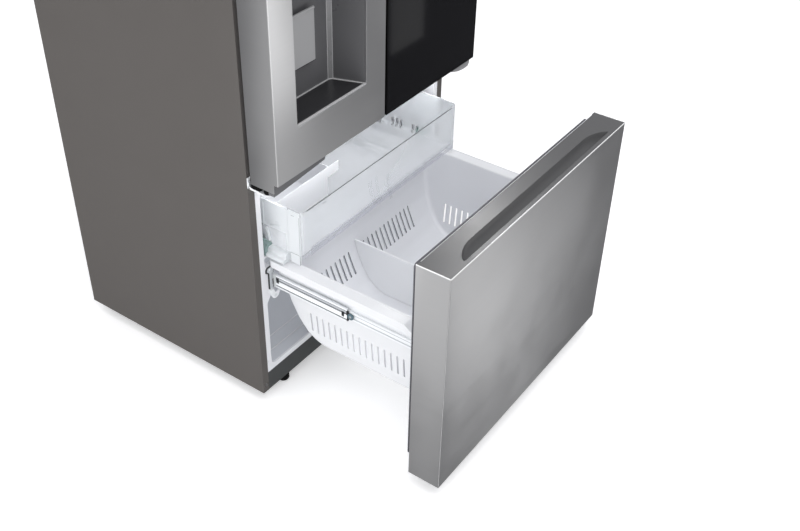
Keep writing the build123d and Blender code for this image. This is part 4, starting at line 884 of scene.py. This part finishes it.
# ------------------------------------------------------------ drawer front
def make_drawer_front():
    hem = [(0.0, 49.2), (0.0, 765.2), (0.0, 766.8), (0.25, 767.6), (1.1, 768.0), (1.9, 767.7), (2.2, 767.0), (2.2, 761.0), (1.0, 760.0), (1.0, 56.0), (2.2, 55.0),
           (2.2, 49.0), (1.9, 48.3), (1.1, 48.0), (0.25, 48.4)]
    skin = sweep(u_path(-456, 456, -626, -527, 2.6), hem)
    # painted highlight: the fold's outer top faces take the near-white, the front-left corner the grey
    skin.paint(lambda x, y, z: z > 765.4 and (abs(x) > 455.2 or y < -625.2), 1)
    skin.paint(lambda x, y, z: -455.6 < x < -454.2 and -625.6 < y < -624.2 and z > 60, 2)
    piece("drawer_skin", skin, ["steel", "bright_fold_painted_highlight", "corner_painted_highlight"], "freezer_drawer", ["drawer_panel"], smooth=32)

    # the hand pocket, section by section
    front = -611.0

    def back(x):
        a = abs(x)
        return -575.0 if a <= 292 else front + 36.0 * max(0.0, 1 - ((a - 292) / 86.0) ** 2) ** 0.738

    half = [378, 377.5, 376, 373.5, 370, 365, 358, 350, 340, 328, 314, 300, 292, 270] + list(range(240, 0, -40))
    xs = [-x for x in half] + [0] + list(reversed(half))
    rings, rim_b, rim_f = [], [], []
    top = 767.4
    for x in xs:
        yb = max(back(x), front + 0.5)
        w = yb - front
        d = 3.0 + 31.0 * min(1.0, w / 30.0) ** 0.6
        k = min(1.0, w / 12.0)
        inner = [(yb + 0.9 * k, top), (yb + 0.3 * k, top - 0.35), (yb, top - 1.3)]
        run = w - 1.0 * k
        for t in (0.10, 0.22, 0.36, 0.50, 0.64, 0.78, 0.90, 1.0):
            a = t * math.pi / 2
            inner.append((yb - run * (1 - math.cos(a)), top - 1.3 - (d - 1.3) * math.sin(a)))
        zf = top - d
        u = 6.0 * w / 36.0
        inner += [(front - 0.8 * u, zf + 1.6 * k), (front - u, zf + 5.0 * k), (front - u, top - 9.0 * k - 0.6), (front - 0.6 * u, top - 5.5 * k - 0.5),
                  (front, top - 3.4 * k - 0.3), (front - 0.25 * k, top - 1.2 * k), (front - 1.0 * k, top)]
        n = len(inner)
        outer = []
        for i, (y, z) in enumerate(inner):
            a, b = Vector(inner[max(i - 1, 0)]), Vector(inner[min(i + 1, n - 1)])
            t = (b - a).normalized()
            nrm = Vector((t.y, -t.x)) * (-1.3)
            if i in (0, n - 1):
                outer.append((y + (0.9 if i == 0 else -0.9), z - 1.3))
            else:
                outer.append((y + nrm.x, min(z + nrm.y, top - 1.3)))
        rings.append([(x, y, z) for y, z in inner + list(reversed(outer))])
        rim_b.append((x, inner[0][0]))
        rim_f.append((x, inner[-1][0]))
    pocket = Geo().loft(rings)
    hole = rim_b + list(reversed(rim_f))
    cap = Geo()
    back_line = [(453.6, -623.6), (453.6, -527.2), (441.5, -527.2), (440.0, -528.6), (438.5, -531.2), (-438.5, -531.2), (-440.0, -528.6), (-441.5, -527.2),
                 (-453.6, -527.2), (-453.6, -623.6)]
    cap.prism(back_line, "z", 765.4, top, [hole])
    cap.box(-453.6, 453.6, -531.2, -529.4, 724, 765.4)
    piece("drawer_cap_top", cap, "cap", "freezer_drawer", ["drawer_caps"], bevel=0.5, seg=2, angle=50, smooth=30)
    piece("drawer_pocket", pocket, "cap", "freezer_drawer", smooth=40)
    low = Geo()
    low.prism(rect(-453.6, 453.6, -623.6, -527.2, 1.5, 3), "z", 50, 66, [rect(-440, 440, -610, -541, 4, 4)])
    low.box(-442, 442, -612, -539, 60, 66)
    for x in range(-400, 401, 100):
        low.box(x - 1, x + 1, -612, -539, 52, 61)
    piece("drawer_cap_low", low, "cap", "freezer_drawer", bevel=0.6, seg=2)

    piece("drawer_core", Geo().prism(rect(-454.8, 454.8, 66.5, 721.5), "y", -624.6, -527.4), "foam", "freezer_drawer", ["drawer_foam"])
    inner = Geo()
    inner.prism(rect(-453.6, 453.6, 51, 763, 4, 4), "y", -527.0, -525.5)
    inner.frame(-424, 424, 114, 734, 16, [(-6.0, -527.0), (0.0, -527.0), (0.0, -520.0), (-1.6, -515.4), (-6.0, -513.2), (-9.0, -513.2), (-9.0, -515.0)], 6)
    inner.prism(rect(-417, 417, 121, 727, 10, 6), "y", -515.0, -513.2)
    for x in (-300, 300):
        inner.prism(rect(x - 26, x + 26, 160, 688, 10, 5), "y", -513.3, -512.6, [rect(x - 23, x + 23, 163, 685, 8, 5)])
    piece("drawer_inside", inner, "cover", "freezer_drawer", ["drawer_inner_panel"], bevel=0.6, seg=2, angle=40)
    seal = [(-10, -525.4), (10, -525.4), (10, -523), (6, -521.5), (8.5, -518), (6, -514.5), (9, -513), (9.4, -511.2), (8.4, -510), (-8.4, -510),
            (-9.4, -511.2), (-9, -513), (-6, -514.5), (-8.5, -518), (-6, -521.5), (-10, -523)]
    piece("drawer_seal", Geo().frame(-430, 430, 106, 742, 2, seal, 3), "gasket", "freezer_drawer", ["drawer_gasket"], smooth=50)


# -------------------------------------------------------------------- doors
def door_seal(name, x0, x1, body, node):
    seal = [(-8, -14.9), (8, -14.9), (8, -12.6), (4.6, -11.4), (6.8, -8.4), (4.6, -5.4), (7.2, -4), (7.6, -1.8), (6.6, -0.6), (-6.6, -0.6),
            (-7.6, -1.8), (-7.2, -4), (-4.6, -5.4), (-6.8, -8.4), (-4.6, -11.4), (-8, -12.6)]
    piece(name, Geo().frame(x0, x1, 814, 1714, 8, seal, 5), "gasket", body, [node], smooth=50)


def make_left_door():
    # skin: front with the opening, corner radii and both sides
    g = Geo()
    g.prism(rect(-453.4, -5.6, 816, 1752), "y", -108, -107, [rect(-372, -88, 948, 1480, 2.5, 4)])
    hem = [(0.0, 816.0), (0.0, 1752.0), (1.0, 1752.0), (1.0, 816.0)]
    n = 8
    for s in (-1, 1):
        xa = -456.0 if s < 0 else -3.0
        arc = []
        for i in range(n + 1):
            a = math.pi / 2 * i / n
            arc.append((xa - s * 2.6 + s * 2.6 * math.cos(a), -105.4 - 2.6 * math.sin(a), s * math.cos(a), -math.sin(a)))
        g.add(*(lambda q: (q.v, q.f))(sweep(arc, hem)))
        g.prism(rounded([(-105.4, 816), (-94, 816), (-94, 791), (-92.5, 789.6), (-15.2, 790.4), (-15.2, 1752), (-105.4, 1752)], [0, 0.6, 1.2, 0.6, 0, 0, 0], 3), "x",
                xa, xa - s)
    g.prism([(-455.8, -15.2), (-448.0, -15.2), (-448.0, -16.2), (-455.0, -16.2)], "z", 792, 1750)
    # return of the opening's edge
    g.prism(rect(-372, -88, 948, 1480, 2.5, 4), "y", -107.2, -104.2, [rect(-371, -89, 949, 1479, 2.0, 4)])
    # painted highlight: the front-left corner takes the grey
    g.paint(lambda x, y, z: -455.6 < x < -454.2 and -107.6 < y < -106.2, 1)
    piece("left_door_skin", g, ["steel", "corner_painted_highlight"], "left_door", ["left_door_panel"], bevel=0.0, smooth=32)

    c = Geo()
    c.prism([(-454.8, 779.4), (-440, 779.6), (-300, 788.2), (-250.4, 791.6), (-249, 793.2), (-249, 816.4), (-454.8, 816.4)], "y", -92.4, -74)
    c.prism([(-454.8, 790.4), (-249, 792.4), (-249, 816.4), (-454.8, 816.4)], "y", -74, -17)
    c.box(-249.2, -4.4, -70, -17, 791, 816.4)
    c.box(-454.6, -4.4, -106.8, -70, 816.3, 819)
    c.box(-454.6, -4.4, -106.8, -16.8, 1742, 1751.4)
    piece("left_door_ends", c, "door_cap", "left_door", ["left_door_caps"], bevel=0.7, seg=2)

    # dispenser: well walls of one section, chamfered at its right back corner
    w = Geo()
    inside = rounded([(-371.8, -107.0), (-338, -12), (-131.5, -12), (-119.5, -19.5), (-88.2, -107.0)], [0, 10, 1.0, 1.0, 0], 5, closed=False)
    outside = rounded([(-374.4, -106.8), (-341, -9.2), (-130.4, -9.2), (-116.6, -17.6), (-85.6, -106.8)], [0, 12, 1.0, 1.0, 0], 5, closed=False)
    w.prism(inside + list(reversed(outside)), "z", 948.5, 1480)
    w.mat(1).prism([(-374, -107.0), (-340.5, -9.4), (-118, -9.4), (-86, -107.0)], "z", 946.5, 949.4)
    # light strip round the floor, its light grey a painted highlight on the floor's edge
    floor = [(-371.8, -107.4), (-337.9, -12.1), (-131.5, -12.1), (-119.6, -19.6), (-88.2, -107.4)]
    inset = [(-365.6, -102.8), (-334.6, -16.4), (-133.2, -16.4), (-124.6, -21.8), (-95.0, -102.8)]
    w.mat(2).prism(floor, "z", 949.4, 954.4, [inset])
    # the corner facet in a lighter grey and its two edges in light grey: painted light and painted highlights
    w.mat(4).prism([(-130.6, -12.3), (-119.9, -19.3), (-120.3, -19.9), (-131.0, -12.9)], "z", 954.4, 1372)
    for a in ((-131.4, -12.2), (-119.3, -19.6)):
        w.mat(2).prism(rounded([(a[0] - 0.9, a[1] - 1.3), (a[0] + 1.0, a[1] - 1.3), (a[0] + 1.0, a[1] + 0.6), (a[0] - 0.9, a[1] + 0.6)], 0.8, 3), "z", 954.4, 1372)
    # control plate over the well, with its lens band
    w.mat(3).prism(rect(-371.6, -88.4, 1373, 1479.6, 2.2, 4), "y", -107.9, -106.6)
    w.mat(3).prism(rect(-371.6, -88.4, 1370.6, 1373.2), "y", -107.6, -92.0)
    w.mat(0).prism([(-370, -107.0), (-338, -12.4), (-122, -12.4), (-90, -107.0)], "z", 1371.4, 1376)
    # nozzle shroud and spout
    w.mat(0).lathe([(23.6, 1345.0), (29.4, 1345.6), (30.0, 1347.0), (30.0, 1372.0), (24.0, 1372.0)], "z", (-228, -58), 48)
    w.mat(1).lathe([(3.2, 1338.4), (5.4, 1338.4), (6.0, 1340.0), (6.0, 1372.0), (3.2, 1372.0)], "z", (-228, -92), 28)
    piece("dispenser_well", w, ["dispenser", "drip", "well_trim_painted_highlight", "glass_black", "facet_painted_light"], "left_door", ["dispenser_housing"], bevel=0.35, seg=2, angle=50)
    t = Geo()
    t.prism([(-365.4, -102.6), (-334.4, -16.6), (-133.4, -16.6), (-124.8, -22.0), (-95.2, -102.6)], "z", 949.6, 953.2)
    piece("drip_plate", t, "drip", "left_door", ["drip_tray"], bevel=0.8, seg=2)
    p = Geo()
    p.prism(rect(-285, -197, 1041, 1180, 3, 5), "y", -26.8, -23)
    p.lathe([(0.05, -285), (3.6, -285), (4.0, -284.4), (4.0, -197.6), (3.6, -197), (0.05, -197)], "x", (-25, 1182), 24)
    p.mat(1).box(-284, -198, -26.9, -23.2, 1039.6, 1041.4)
    piece("dispenser_lever", p, ["paddle", "glass_edge"], "dispenser_paddle", ["dispenser_paddle"], bevel=0.8, seg=3)
    door_seal("left_door_seal", -432, -28, "left_door", "left_door_gasket")


def make_right_door():
    g = Geo()
    g.mat(0).prism(rect(8.5, 450.5, 821.5, 1746.5, 1.0, 3), "y", -107.8, -104)
    g.mat(1).prism(rect(3, 456, 816, 1752, 1.6, 3), "y", -108, -104, [rect(8.5, 450.5, 821.5, 1746.5, 1.0, 3)])
    piece("right_door_pane", g, ["glass_black", "glass_edge"], "right_door", ["right_door_glass"], bevel=0.35, seg=2, angle=50)
    f = Geo()
    f.mat(0)
    f.prism([(-104, 816.2), (-94, 816.2), (-94, 791), (-92.5, 789.8), (-15.2, 790.4), (-15.2, 1752), (-104, 1752)], "x", 454.6, 456)
    f.box(3, 4.3, -104, -15.2, 816.2, 1752)
    f.box(4.3, 454.6, -104, -17, 1742, 1751.6)
    f.box(4.3, 454.6, -104, -70, 816.2, 818)
    f.box(4.3, 454.6, -70, -17, 791, 816.4)
    lens = rounded([(338, 816), (356, 800), (395, 787.6), (428, 783.4), (450, 784.6), (454.8, 789), (454.8, 816)], [0, 30, 60, 60, 8, 3, 0], 8)
    f.mat(1).prism(lens, "y", -93.6, -74)
    piece("right_door_edges", f, ["frame_black", "lip"], "right_door", ["right_door_frame"], bevel=0.5, seg=2)
    door_seal("right_door_seal", 28, 432, "right_door", "right_door_gasket")


MAT["door_cap"] = moulded("door_cap_grey", (0.150, 0.150, 0.158), rough=0.38, vary=0.02)
# painted light: a lighter copy of the dispenser grey for the corner facet, and light grey for painted highlights on the
# well's edges
MAT["facet_painted_light"] = moulded("facet_grey_painted_light", (0.20, 0.20, 0.205), rough=0.28, vary=0.01)
MAT["well_trim_painted_highlight"] = moulded("trim_light_painted_highlight", (0.46, 0.46, 0.465), rough=0.30, vary=0.01)
MAT["lip"] = moulded("lip_grey", (0.34, 0.34, 0.345), rough=0.35, vary=0.02)
MAT["glass_edge"] = moulded("glass_border", (0.0015, 0.0015, 0.0018), rough=0.30, vary=0.02, spec=0.10)

for _f in (make_drawer_front, make_left_door, make_right_door):
    _f()


# ------------------------------------------------------------------ hinges
def make_hinges():
    b = Geo()
    plate = rounded([(-454, -0.6), (-454, -66), (-442, -77.6), (-424, -74), (-418, -40), (-418, -0.6)], [0, 14, 10, 8, 8, 0], 5)
    b.prism(plate, "z", 770, 773)
    bend = rounded([(-0.2, 801), (-0.2, 770.2), (-10.0, 770.2), (-10.0, 773.0), (-3.0, 773.0), (-3.0, 801)], [1, 7.5, 0, 0, 4.5, 1], 6)
    b.prism(bend, "x", -454, -418)
    b.lathe([(0.05, 769.6), (4.6, 769.6), (5.0, 770.2), (5.0, 805.0), (4.2, 806.0), (0.05, 806.0)], "z", (-440, -60), 28)
    # raised lip along the outer edge, in white as a painted highlight
    b.mat(1).tube([(-453.2, -4.4, 789.0), (-453.2, -5.0, 783.0), (-453.2, -7.4, 777.4), (-453.2, -12.0, 774.4), (-453.2, -20.0, 773.4), (-453.2, -40.0, 773.4)], 1.9, 10)
    b.mat(0)
    b.mirror()
    for s in (-1, 1):
        b.mat(0)
        b.prism([(s * x, y) for x, y in rounded([(418, 20), (418, 80), (436, 80), (452, -44), (446, -70), (434, -70), (426, -44)], 5, 4)], "z", 1755.2, 1758.6)
        b.lathe([(0.05, 1744.0), (4.2, 1744.0), (4.6, 1745.0), (4.6, 1755.4), (0.05, 1755.4)], "z", (s * 440, -60), 24)
    piece("hinge_plates", b, ["rail_pale_and_painted_light", "rail_white_and_painted_highlight"], "cabinet", ["hinge_brackets"], bevel=0.4, seg=2)
    w = Geo()
    w.lathe([(5.4, 773.2), (11.4, 773.2), (12.0, 774.0), (12.0, 788.8), (11.4, 789.5), (5.4, 789.5)], "z", (-440, -60), 36)
    w.prism(rounded([(-452.4, -10), (-452.4, -38), (-432, -44), (-426, -40), (-426, -10)], [3, 4, 4, 3, 3], 4), "z", 774.0, 788.6)
    w.mirror()
    piece("hinge_spacers", w, "washer", "cabinet", ["hinge_washers"], bevel=0.8, seg=3)
    c = Geo()
    for s in (-1, 1):
        out = [(s * x, y) for x, y in rounded([(389, 118), (453, 118), (453, -84), (389, -84)], 13, 6)]
        top = [(s * x, y) for x, y in rounded([(392, 115), (450, 115), (450, -81), (392, -81)], 11, 6)]
        c.loft([[(x, y, 1755.2) for x, y in out], [(x, y, 1783.6) for x, y in out], [(x * 0.3 + X * 0.7, y * 0.3 + Y * 0.7, 1786.2) for (x, y), (X, Y) in zip(out, top)],
                [(x, y, 1787.0) for x, y in top]])
        for y in (96, -62):
            c.lathe([(0.05, 1786.6), (5.6, 1786.6), (6.0, 1787.0), (0.05, 1787.0)], "z", (s * 421, y), 24)
    piece("top_hinge_caps", c, "hinge_cover", "cabinet", ["top_hinge_covers"], smooth=40)


# ------------------------------------------------- inside of the fresh food part
def open_box(x0, x1, y0, y1, z0, z1, r, wall, front_tilt=0.0, seg=5):
    """An open moulded box with rounded bottom and upright corners."""
    rb = r
    prof = rounded([(y0 - front_tilt, z1), (y0, z0), (y1, z0), (y1, z1)], [0, rb, rb, 0], seg, closed=False)
    return tub(prof, lambda z: x0, lambda z: x1, r * 0.9, wall, seg=seg)


def make_bins():
    for name, body, node, x0, x1, zs, y0s, h in (("left_bins", "left_door", "left_door_bins", -395, -69, (856, 1105, 1310, 1520), (-14.4, 2.8, 2.8, -14.4), 80),
                                                 ("right_bins", "right_door", "right_door_bins", 69, 395, (870, 1090, 1310, 1520), (-14.4,) * 4, 95)):
        g = Geo()
        for z, y0 in zip(zs, y0s):
            o = open_box(x0, x1, y0, 95, z, z + h, 9, 2.2)
            g.take(o)
            drop(o)
            for a, b in ((z + h - 7, z + h - 0.6), (z + h - 20, z + h - 17)):
                g.prism(rect(x0 + 0.1, x1 - 0.1, 20, 94.9, 8.8, 5), "z", a, b, [rect(x0 + 3.4, x1 - 3.4, 23, 91.4, 6, 5)])
            for x in (x0 + 60, (x0 + x1) / 2, x1 - 60):
                g.box(x - 0.9, x + 0.9, y0 + 8, 88, z + 2, z + 4)
        piece(name, g, "bin", body, [node], smooth=35)


def make_drawers():
    for name, node, body, x0, x1 in (("crisper_l", "crisper_left", "crisper_left", -401, -7), ("crisper_r", "crisper_right", "crisper_right", 7, 401)):
        o = open_box(x0 + 5, x1 - 5, 208, 590, 963.6, 1074, 14, 2.4, front_tilt=3)
        g = Geo().take(o)
        drop(o)
        g.prism(rect(x0, x1, 205, 590, 9, 5), "z", 1070, 1073.4, [rect(x0 + 7, x1 - 7, 211, 583, 9, 5)])
        g.prism(rounded([(205, 1078), (205, 1040), (208, 1036), (211, 1040), (211, 1078)], [1.5, 2, 1, 1, 1.5], 4), "x", x0 + 0.4, x1 - 0.4)
        g.prism(rounded([(205.4, 1044), (219, 1041), (219, 1044), (208.4, 1048)], 1.2, 4), "x", x0 + 60, x1 - 60)
        piece(name, g, "crisper", body, [node], smooth=35)
    o = open_box(-395, 395, 208, 590, 840.8, 940, 14, 2.4, front_tilt=3)
    g = Geo().take(o)
    drop(o)
    g.prism(rect(-401, 401, 205, 590, 9, 5), "z", 936, 939.4, [rect(-394, 394, 211, 583, 9, 5)])
    g.prism(rounded([(205, 946), (205, 900), (208, 896), (211, 900), (211, 946)], [1.5, 2, 1, 1, 1.5], 4), "x", -400.6, 400.6)
    g.prism(rounded([(205.4, 904), (219, 901), (219, 904), (208.4, 908)], 1.2, 4), "x", -180, 180)
    piece("pantry", g, "crisper", "pantry_drawer", ["pantry_drawer"], smooth=35)


def make_door_liners():
    for name, body, node, s in (("left_door_inside", "left_door", "left_door_liner", -1), ("right_door_inside", "right_door", "right_door_liner", 1)):
        g = Geo()
        xo, xi = (-454.8, -4.4) if s < 0 else (4.4, 454.8)
        well = [rect(-376.4, -83.6, 943.6, 1484, 6, 3)] if s < 0 else []
        g.prism(rect(xo, xi, 791.4, 1750.6, 3, 3), "y", -16.6, -15.0, well)
        x0, x1 = (-400, -64) if s < 0 else (64, 400)
        g.frame(x0 + 2, x1 - 2, 852, 1688, 14, [(-2.0, -15.2), (2.0, -15.2), (2.0, 26.0), (0.6, 29.4), (-0.6, 29.4), (-2.0, 27.0)], 6)
        for z in ((936, 1186, 1390, 1600) if s < 0 else (960, 1180, 1400, 1610)):
            for x in (x0 + 4, x1 - 4):
                g.box(x - 3.4, x + 3.4, -15, 18, z - 30, z - 27)
        if s < 0:
            g.prism(rect(-382, -78, 938, 1490, 18, 6), "y", -15.2, -6.4, [rect(-376.4, -83.6, 943.6, 1484, 14, 6)])
            g.prism(rect(-382, -78, 938, 1490, 18, 6), "y", -6.6, 2.0)
        piece(name, g, "cover", body, [node], bevel=1.2, seg=3, angle=40)


def make_inside_parts():
    e = Geo()
    holes = [slot_outline(x0 + 20 * (i - 3), z, 6, 48) for x0 in (-250, 0, 250) for z in (450, 660) for i in range(7)]
    e.prism(rect(-409, 409, 391, 729, 12, 6), "y", 528, 531, holes)
    e.frame(-396, 396, 404, 716, 16, [(-1.4, 528.2), (1.4, 528.2), (1.0, 526.6), (-1.0, 526.6)], 6)
    piece("evaporator_panel", e, "cover", "cabinet", ["evaporator_cover"], bevel=0.5, seg=2)
    d = Geo()
    slots = [rect(s * 78 - 26, s * 78 + 26, z - 3, z + 3, 2.9, 4) for s in (-1, 1) for z in range(980, 1620, 70)]
    d.prism(rect(-135, 135, 900, 1660, 16, 6), "y", 641, 650, slots)
    d.prism(rect(-40, 40, 910, 1650, 10, 5), "y", 640, 642)
    piece("air_panel", d, "cover", "cabinet", ["air_duct_cover"], bevel=0.8, seg=3)
    f = Geo()
    f.prism(rect(-61, -39, 16, 104, 4, 5), "z", 852, 1688)
    f.lathe([(0.05, 852.2), (5.6, 852.2), (6.0, 852.8), (6.0, 1687.2), (5.6, 1687.8), (0.05, 1687.8)], "z", (-50, 12), 24)
    f.prism(rect(-57, -43, 103.4, 104.0), "z", 862, 1678)
    piece("sealing_bar", f, "flipper", "door_flipper", ["door_flipper"], bevel=0.6, seg=2)
    s = Geo()
    for z in (1285, 1485):
        s.mat(0).prism(rect(-398, 398, 145, 596, 8, 5), "z", z + 1.0, z + 5.0)
        s.mat(1).prism(rounded([(140, z), (149, z), (149, z + 1.2), (143.4, z + 1.2), (143.4, z + 5.6), (140, z + 5.6)], [1.6, 0.4, 0.3, 0.4, 0.6, 1.6], 3), "x", -403, 403)
        s.mat(1).prism(rect(591, 600, z, z + 5.6, 1.2, 3), "x", -403, 403)
        for x in (-403, 397):
            s.mat(1).prism(rect(x, x + 6, z, z + 5.8, 1.2, 3), "y", 149, 591)
    piece("glass_shelves", s, ["shelf", "cover"], "cabinet", ["fridge_shelves"], bevel=0.3, seg=2)
    m = Geo()
    m.prism(rect(-336, -126, 70, 250, 16, 6), "z", 676, 729.6)
    m.prism(rect(-326, -136, 80, 240, 12, 6), "z", 668, 677)
    m.prism(rect(-127, -112, 90, 230, 5, 4), "z", 690, 729.6)
    piece("ice_head", m, "cover", "cabinet", ["ice_maker"], bevel=2.0, seg=3, angle=50)


for _f in (make_hinges, make_bins, make_drawers, make_door_liners, make_inside_parts):
    _f()




# ----------------------------------------------------------- floor and light
def stage_plane():
    bm = bmesh.new()
    n = 24
    for i in range(n + 1):
        for j in range(n + 1):
            bm.verts.new((-30 + 60 * i / n, -30 + 60 * j / n, 0.0))
    bm.verts.ensure_lookup_table()
    for i in range(n):
        for j in range(n):
            a = i * (n + 1) + j
            bm.faces.new([bm.verts[k] for k in (a, a + n + 1, a + n + 2, a + 1)])
    me = bpy.data.meshes.new("floor")
    bm.to_mesh(me)
    bm.free()
    o = bpy.data.objects.new("floor", me)
    bpy.context.scene.collection.objects.link(o)
    f = Net("floor_pale")
    f.link(f.mix(f.noise(1.5, 2.0), (0.90, 0.90, 0.90), (0.92, 0.92, 0.92)), f.b.inputs["Base Color"])
    f.b.inputs["Roughness"].default_value = 0.75
    f.b.inputs["Specular IOR Level"].default_value = 0.2
    f.b.inputs["Emission Color"].default_value = (1.0, 1.0, 1.0, 1.0)
    f.b.inputs["Emission Strength"].default_value = 0.36
    me.materials.append(f.mat)
    o.visible_glossy = False


stage_plane()


def area(name, loc, aim, size, power, color=(1, 1, 1), shape="RECTANGLE"):
    l = bpy.data.lights.new(name, "AREA")
    l.shape = shape
    l.size, l.size_y = size
    l.energy = power
    l.color = color
    o = bpy.data.objects.new(name, l)
    o.visible_camera = False
    o.location = loc
    o.rotation_euler = (Vector(aim) - Vector(loc)).to_track_quat("-Z", "Y").to_euler()
    bpy.context.scene.collection.objects.link(o)
    return o


def studio_world():
    """Even pale surround, darker below the horizon."""
    w = bpy.data.worlds.new("studio")
    bpy.context.scene.world = w
    w.use_nodes = True
    t = w.node_tree
    bg = t.nodes["Background"]
    tc = t.nodes.new("ShaderNodeTexCoord")
    sep = t.nodes.new("ShaderNodeSeparateXYZ")
    t.links.new(tc.outputs["Generated"], sep.inputs[0])
    up = t.nodes.new("ShaderNodeMapRange")
    up.interpolation_type = "SMOOTHSTEP"
    up.inputs["From Min"].default_value = -0.25
    up.inputs["From Max"].default_value = 0.45
    up.inputs["To Min"].default_value = 0.0
    up.inputs["To Max"].default_value = 1.0
    t.links.new(sep.outputs["Z"], up.inputs["Value"])
    mix = t.nodes.new("ShaderNodeMix")
    mix.data_type = "RGBA"
    mix.inputs["A"].default_value = (0.20, 0.20, 0.205, 1)
    mix.inputs["B"].default_value = (0.97, 0.975, 1.0, 1)
    t.links.new(up.outputs[0], mix.inputs["Factor"])
    t.links.new(mix.outputs["Result"], bg.inputs["Color"])
    bg.inputs["Strength"].default_value = 0.80


studio_world()
area("key_top", (-0.8, -1.6, 4.2), (0, 0, 0.6), (3.2, 3.2), 70)
left = area("left_strip", (-2.3, 0.2, 0.85), (-0.4, -0.1, 0.6), (1.5, 1.6), 13)
left.visible_glossy = False


def glow(name, loc, facing, size, radiance):
    """A soft card that only shows in reflections."""
    o = area(name, loc, Vector(loc) + Vector(facing), size, radiance * math.pi * size[0] * size[1])
    o.visible_diffuse = False
    o.visible_transmission = False
    return o


glow("door_glow", (-0.34, -0.40, 1.18), (0, 1, 0), (0.40, 0.44), 1.62)
glow("door_glow_low", (-0.34, -0.40, 0.68), (0, 1, 0), (0.42, 0.36), 0.12)
glow("door_glow_right", (0.44, -0.40, 1.02), (0, 1, 0), (0.18, 0.46), 0.55)
glow("door_side_glow", (-0.60, -0.25, 0.95), (1, 0, 0), (0.50, 0.80), 0.5)
glow("drawer_side_glow", (-0.65, -0.50, 0.60), (1, 0, 0), (0.40, 0.60), 0.76)
glow("drawer_side_low", (-0.65, -0.50, 0.05), (1, 0, 0), (0.40, 0.50), 0.36)
glow("drawer_front_glow", (0.05, -1.05, 0.34), (0, 1, 0), (0.50, 0.60), 1.2)
glow("drawer_front_side", (0.55, -1.05, 0.34), (0, 1, 0), (0.50, 0.60), 0.60)
glow("cap_glow", (0.24, -0.36, 1.24), (0, -1, -0.6), (0.24, 0.30), 16.0)
area("basket_fill", (-0.31, -0.30, 0.38), (0.30, -0.30, 0.37), (0.12, 0.30), 0.18)
area("bucket_fill", (-0.22, 0.10, 0.635), (-0.22, 0.11, 0.5), (0.24, 0.14), 0.05)
area("inside_back", (0.0, 0.33, 0.715), (0.0, 0.30, 0.3), (0.74, 0.26), 0.70)
area("inside_front", (0.0, -0.09, 0.735), (0.0, 0.25, 0.55), (0.78, 0.05), 0.68)
bpy.context.scene.view_settings.view_transform = "Standard"
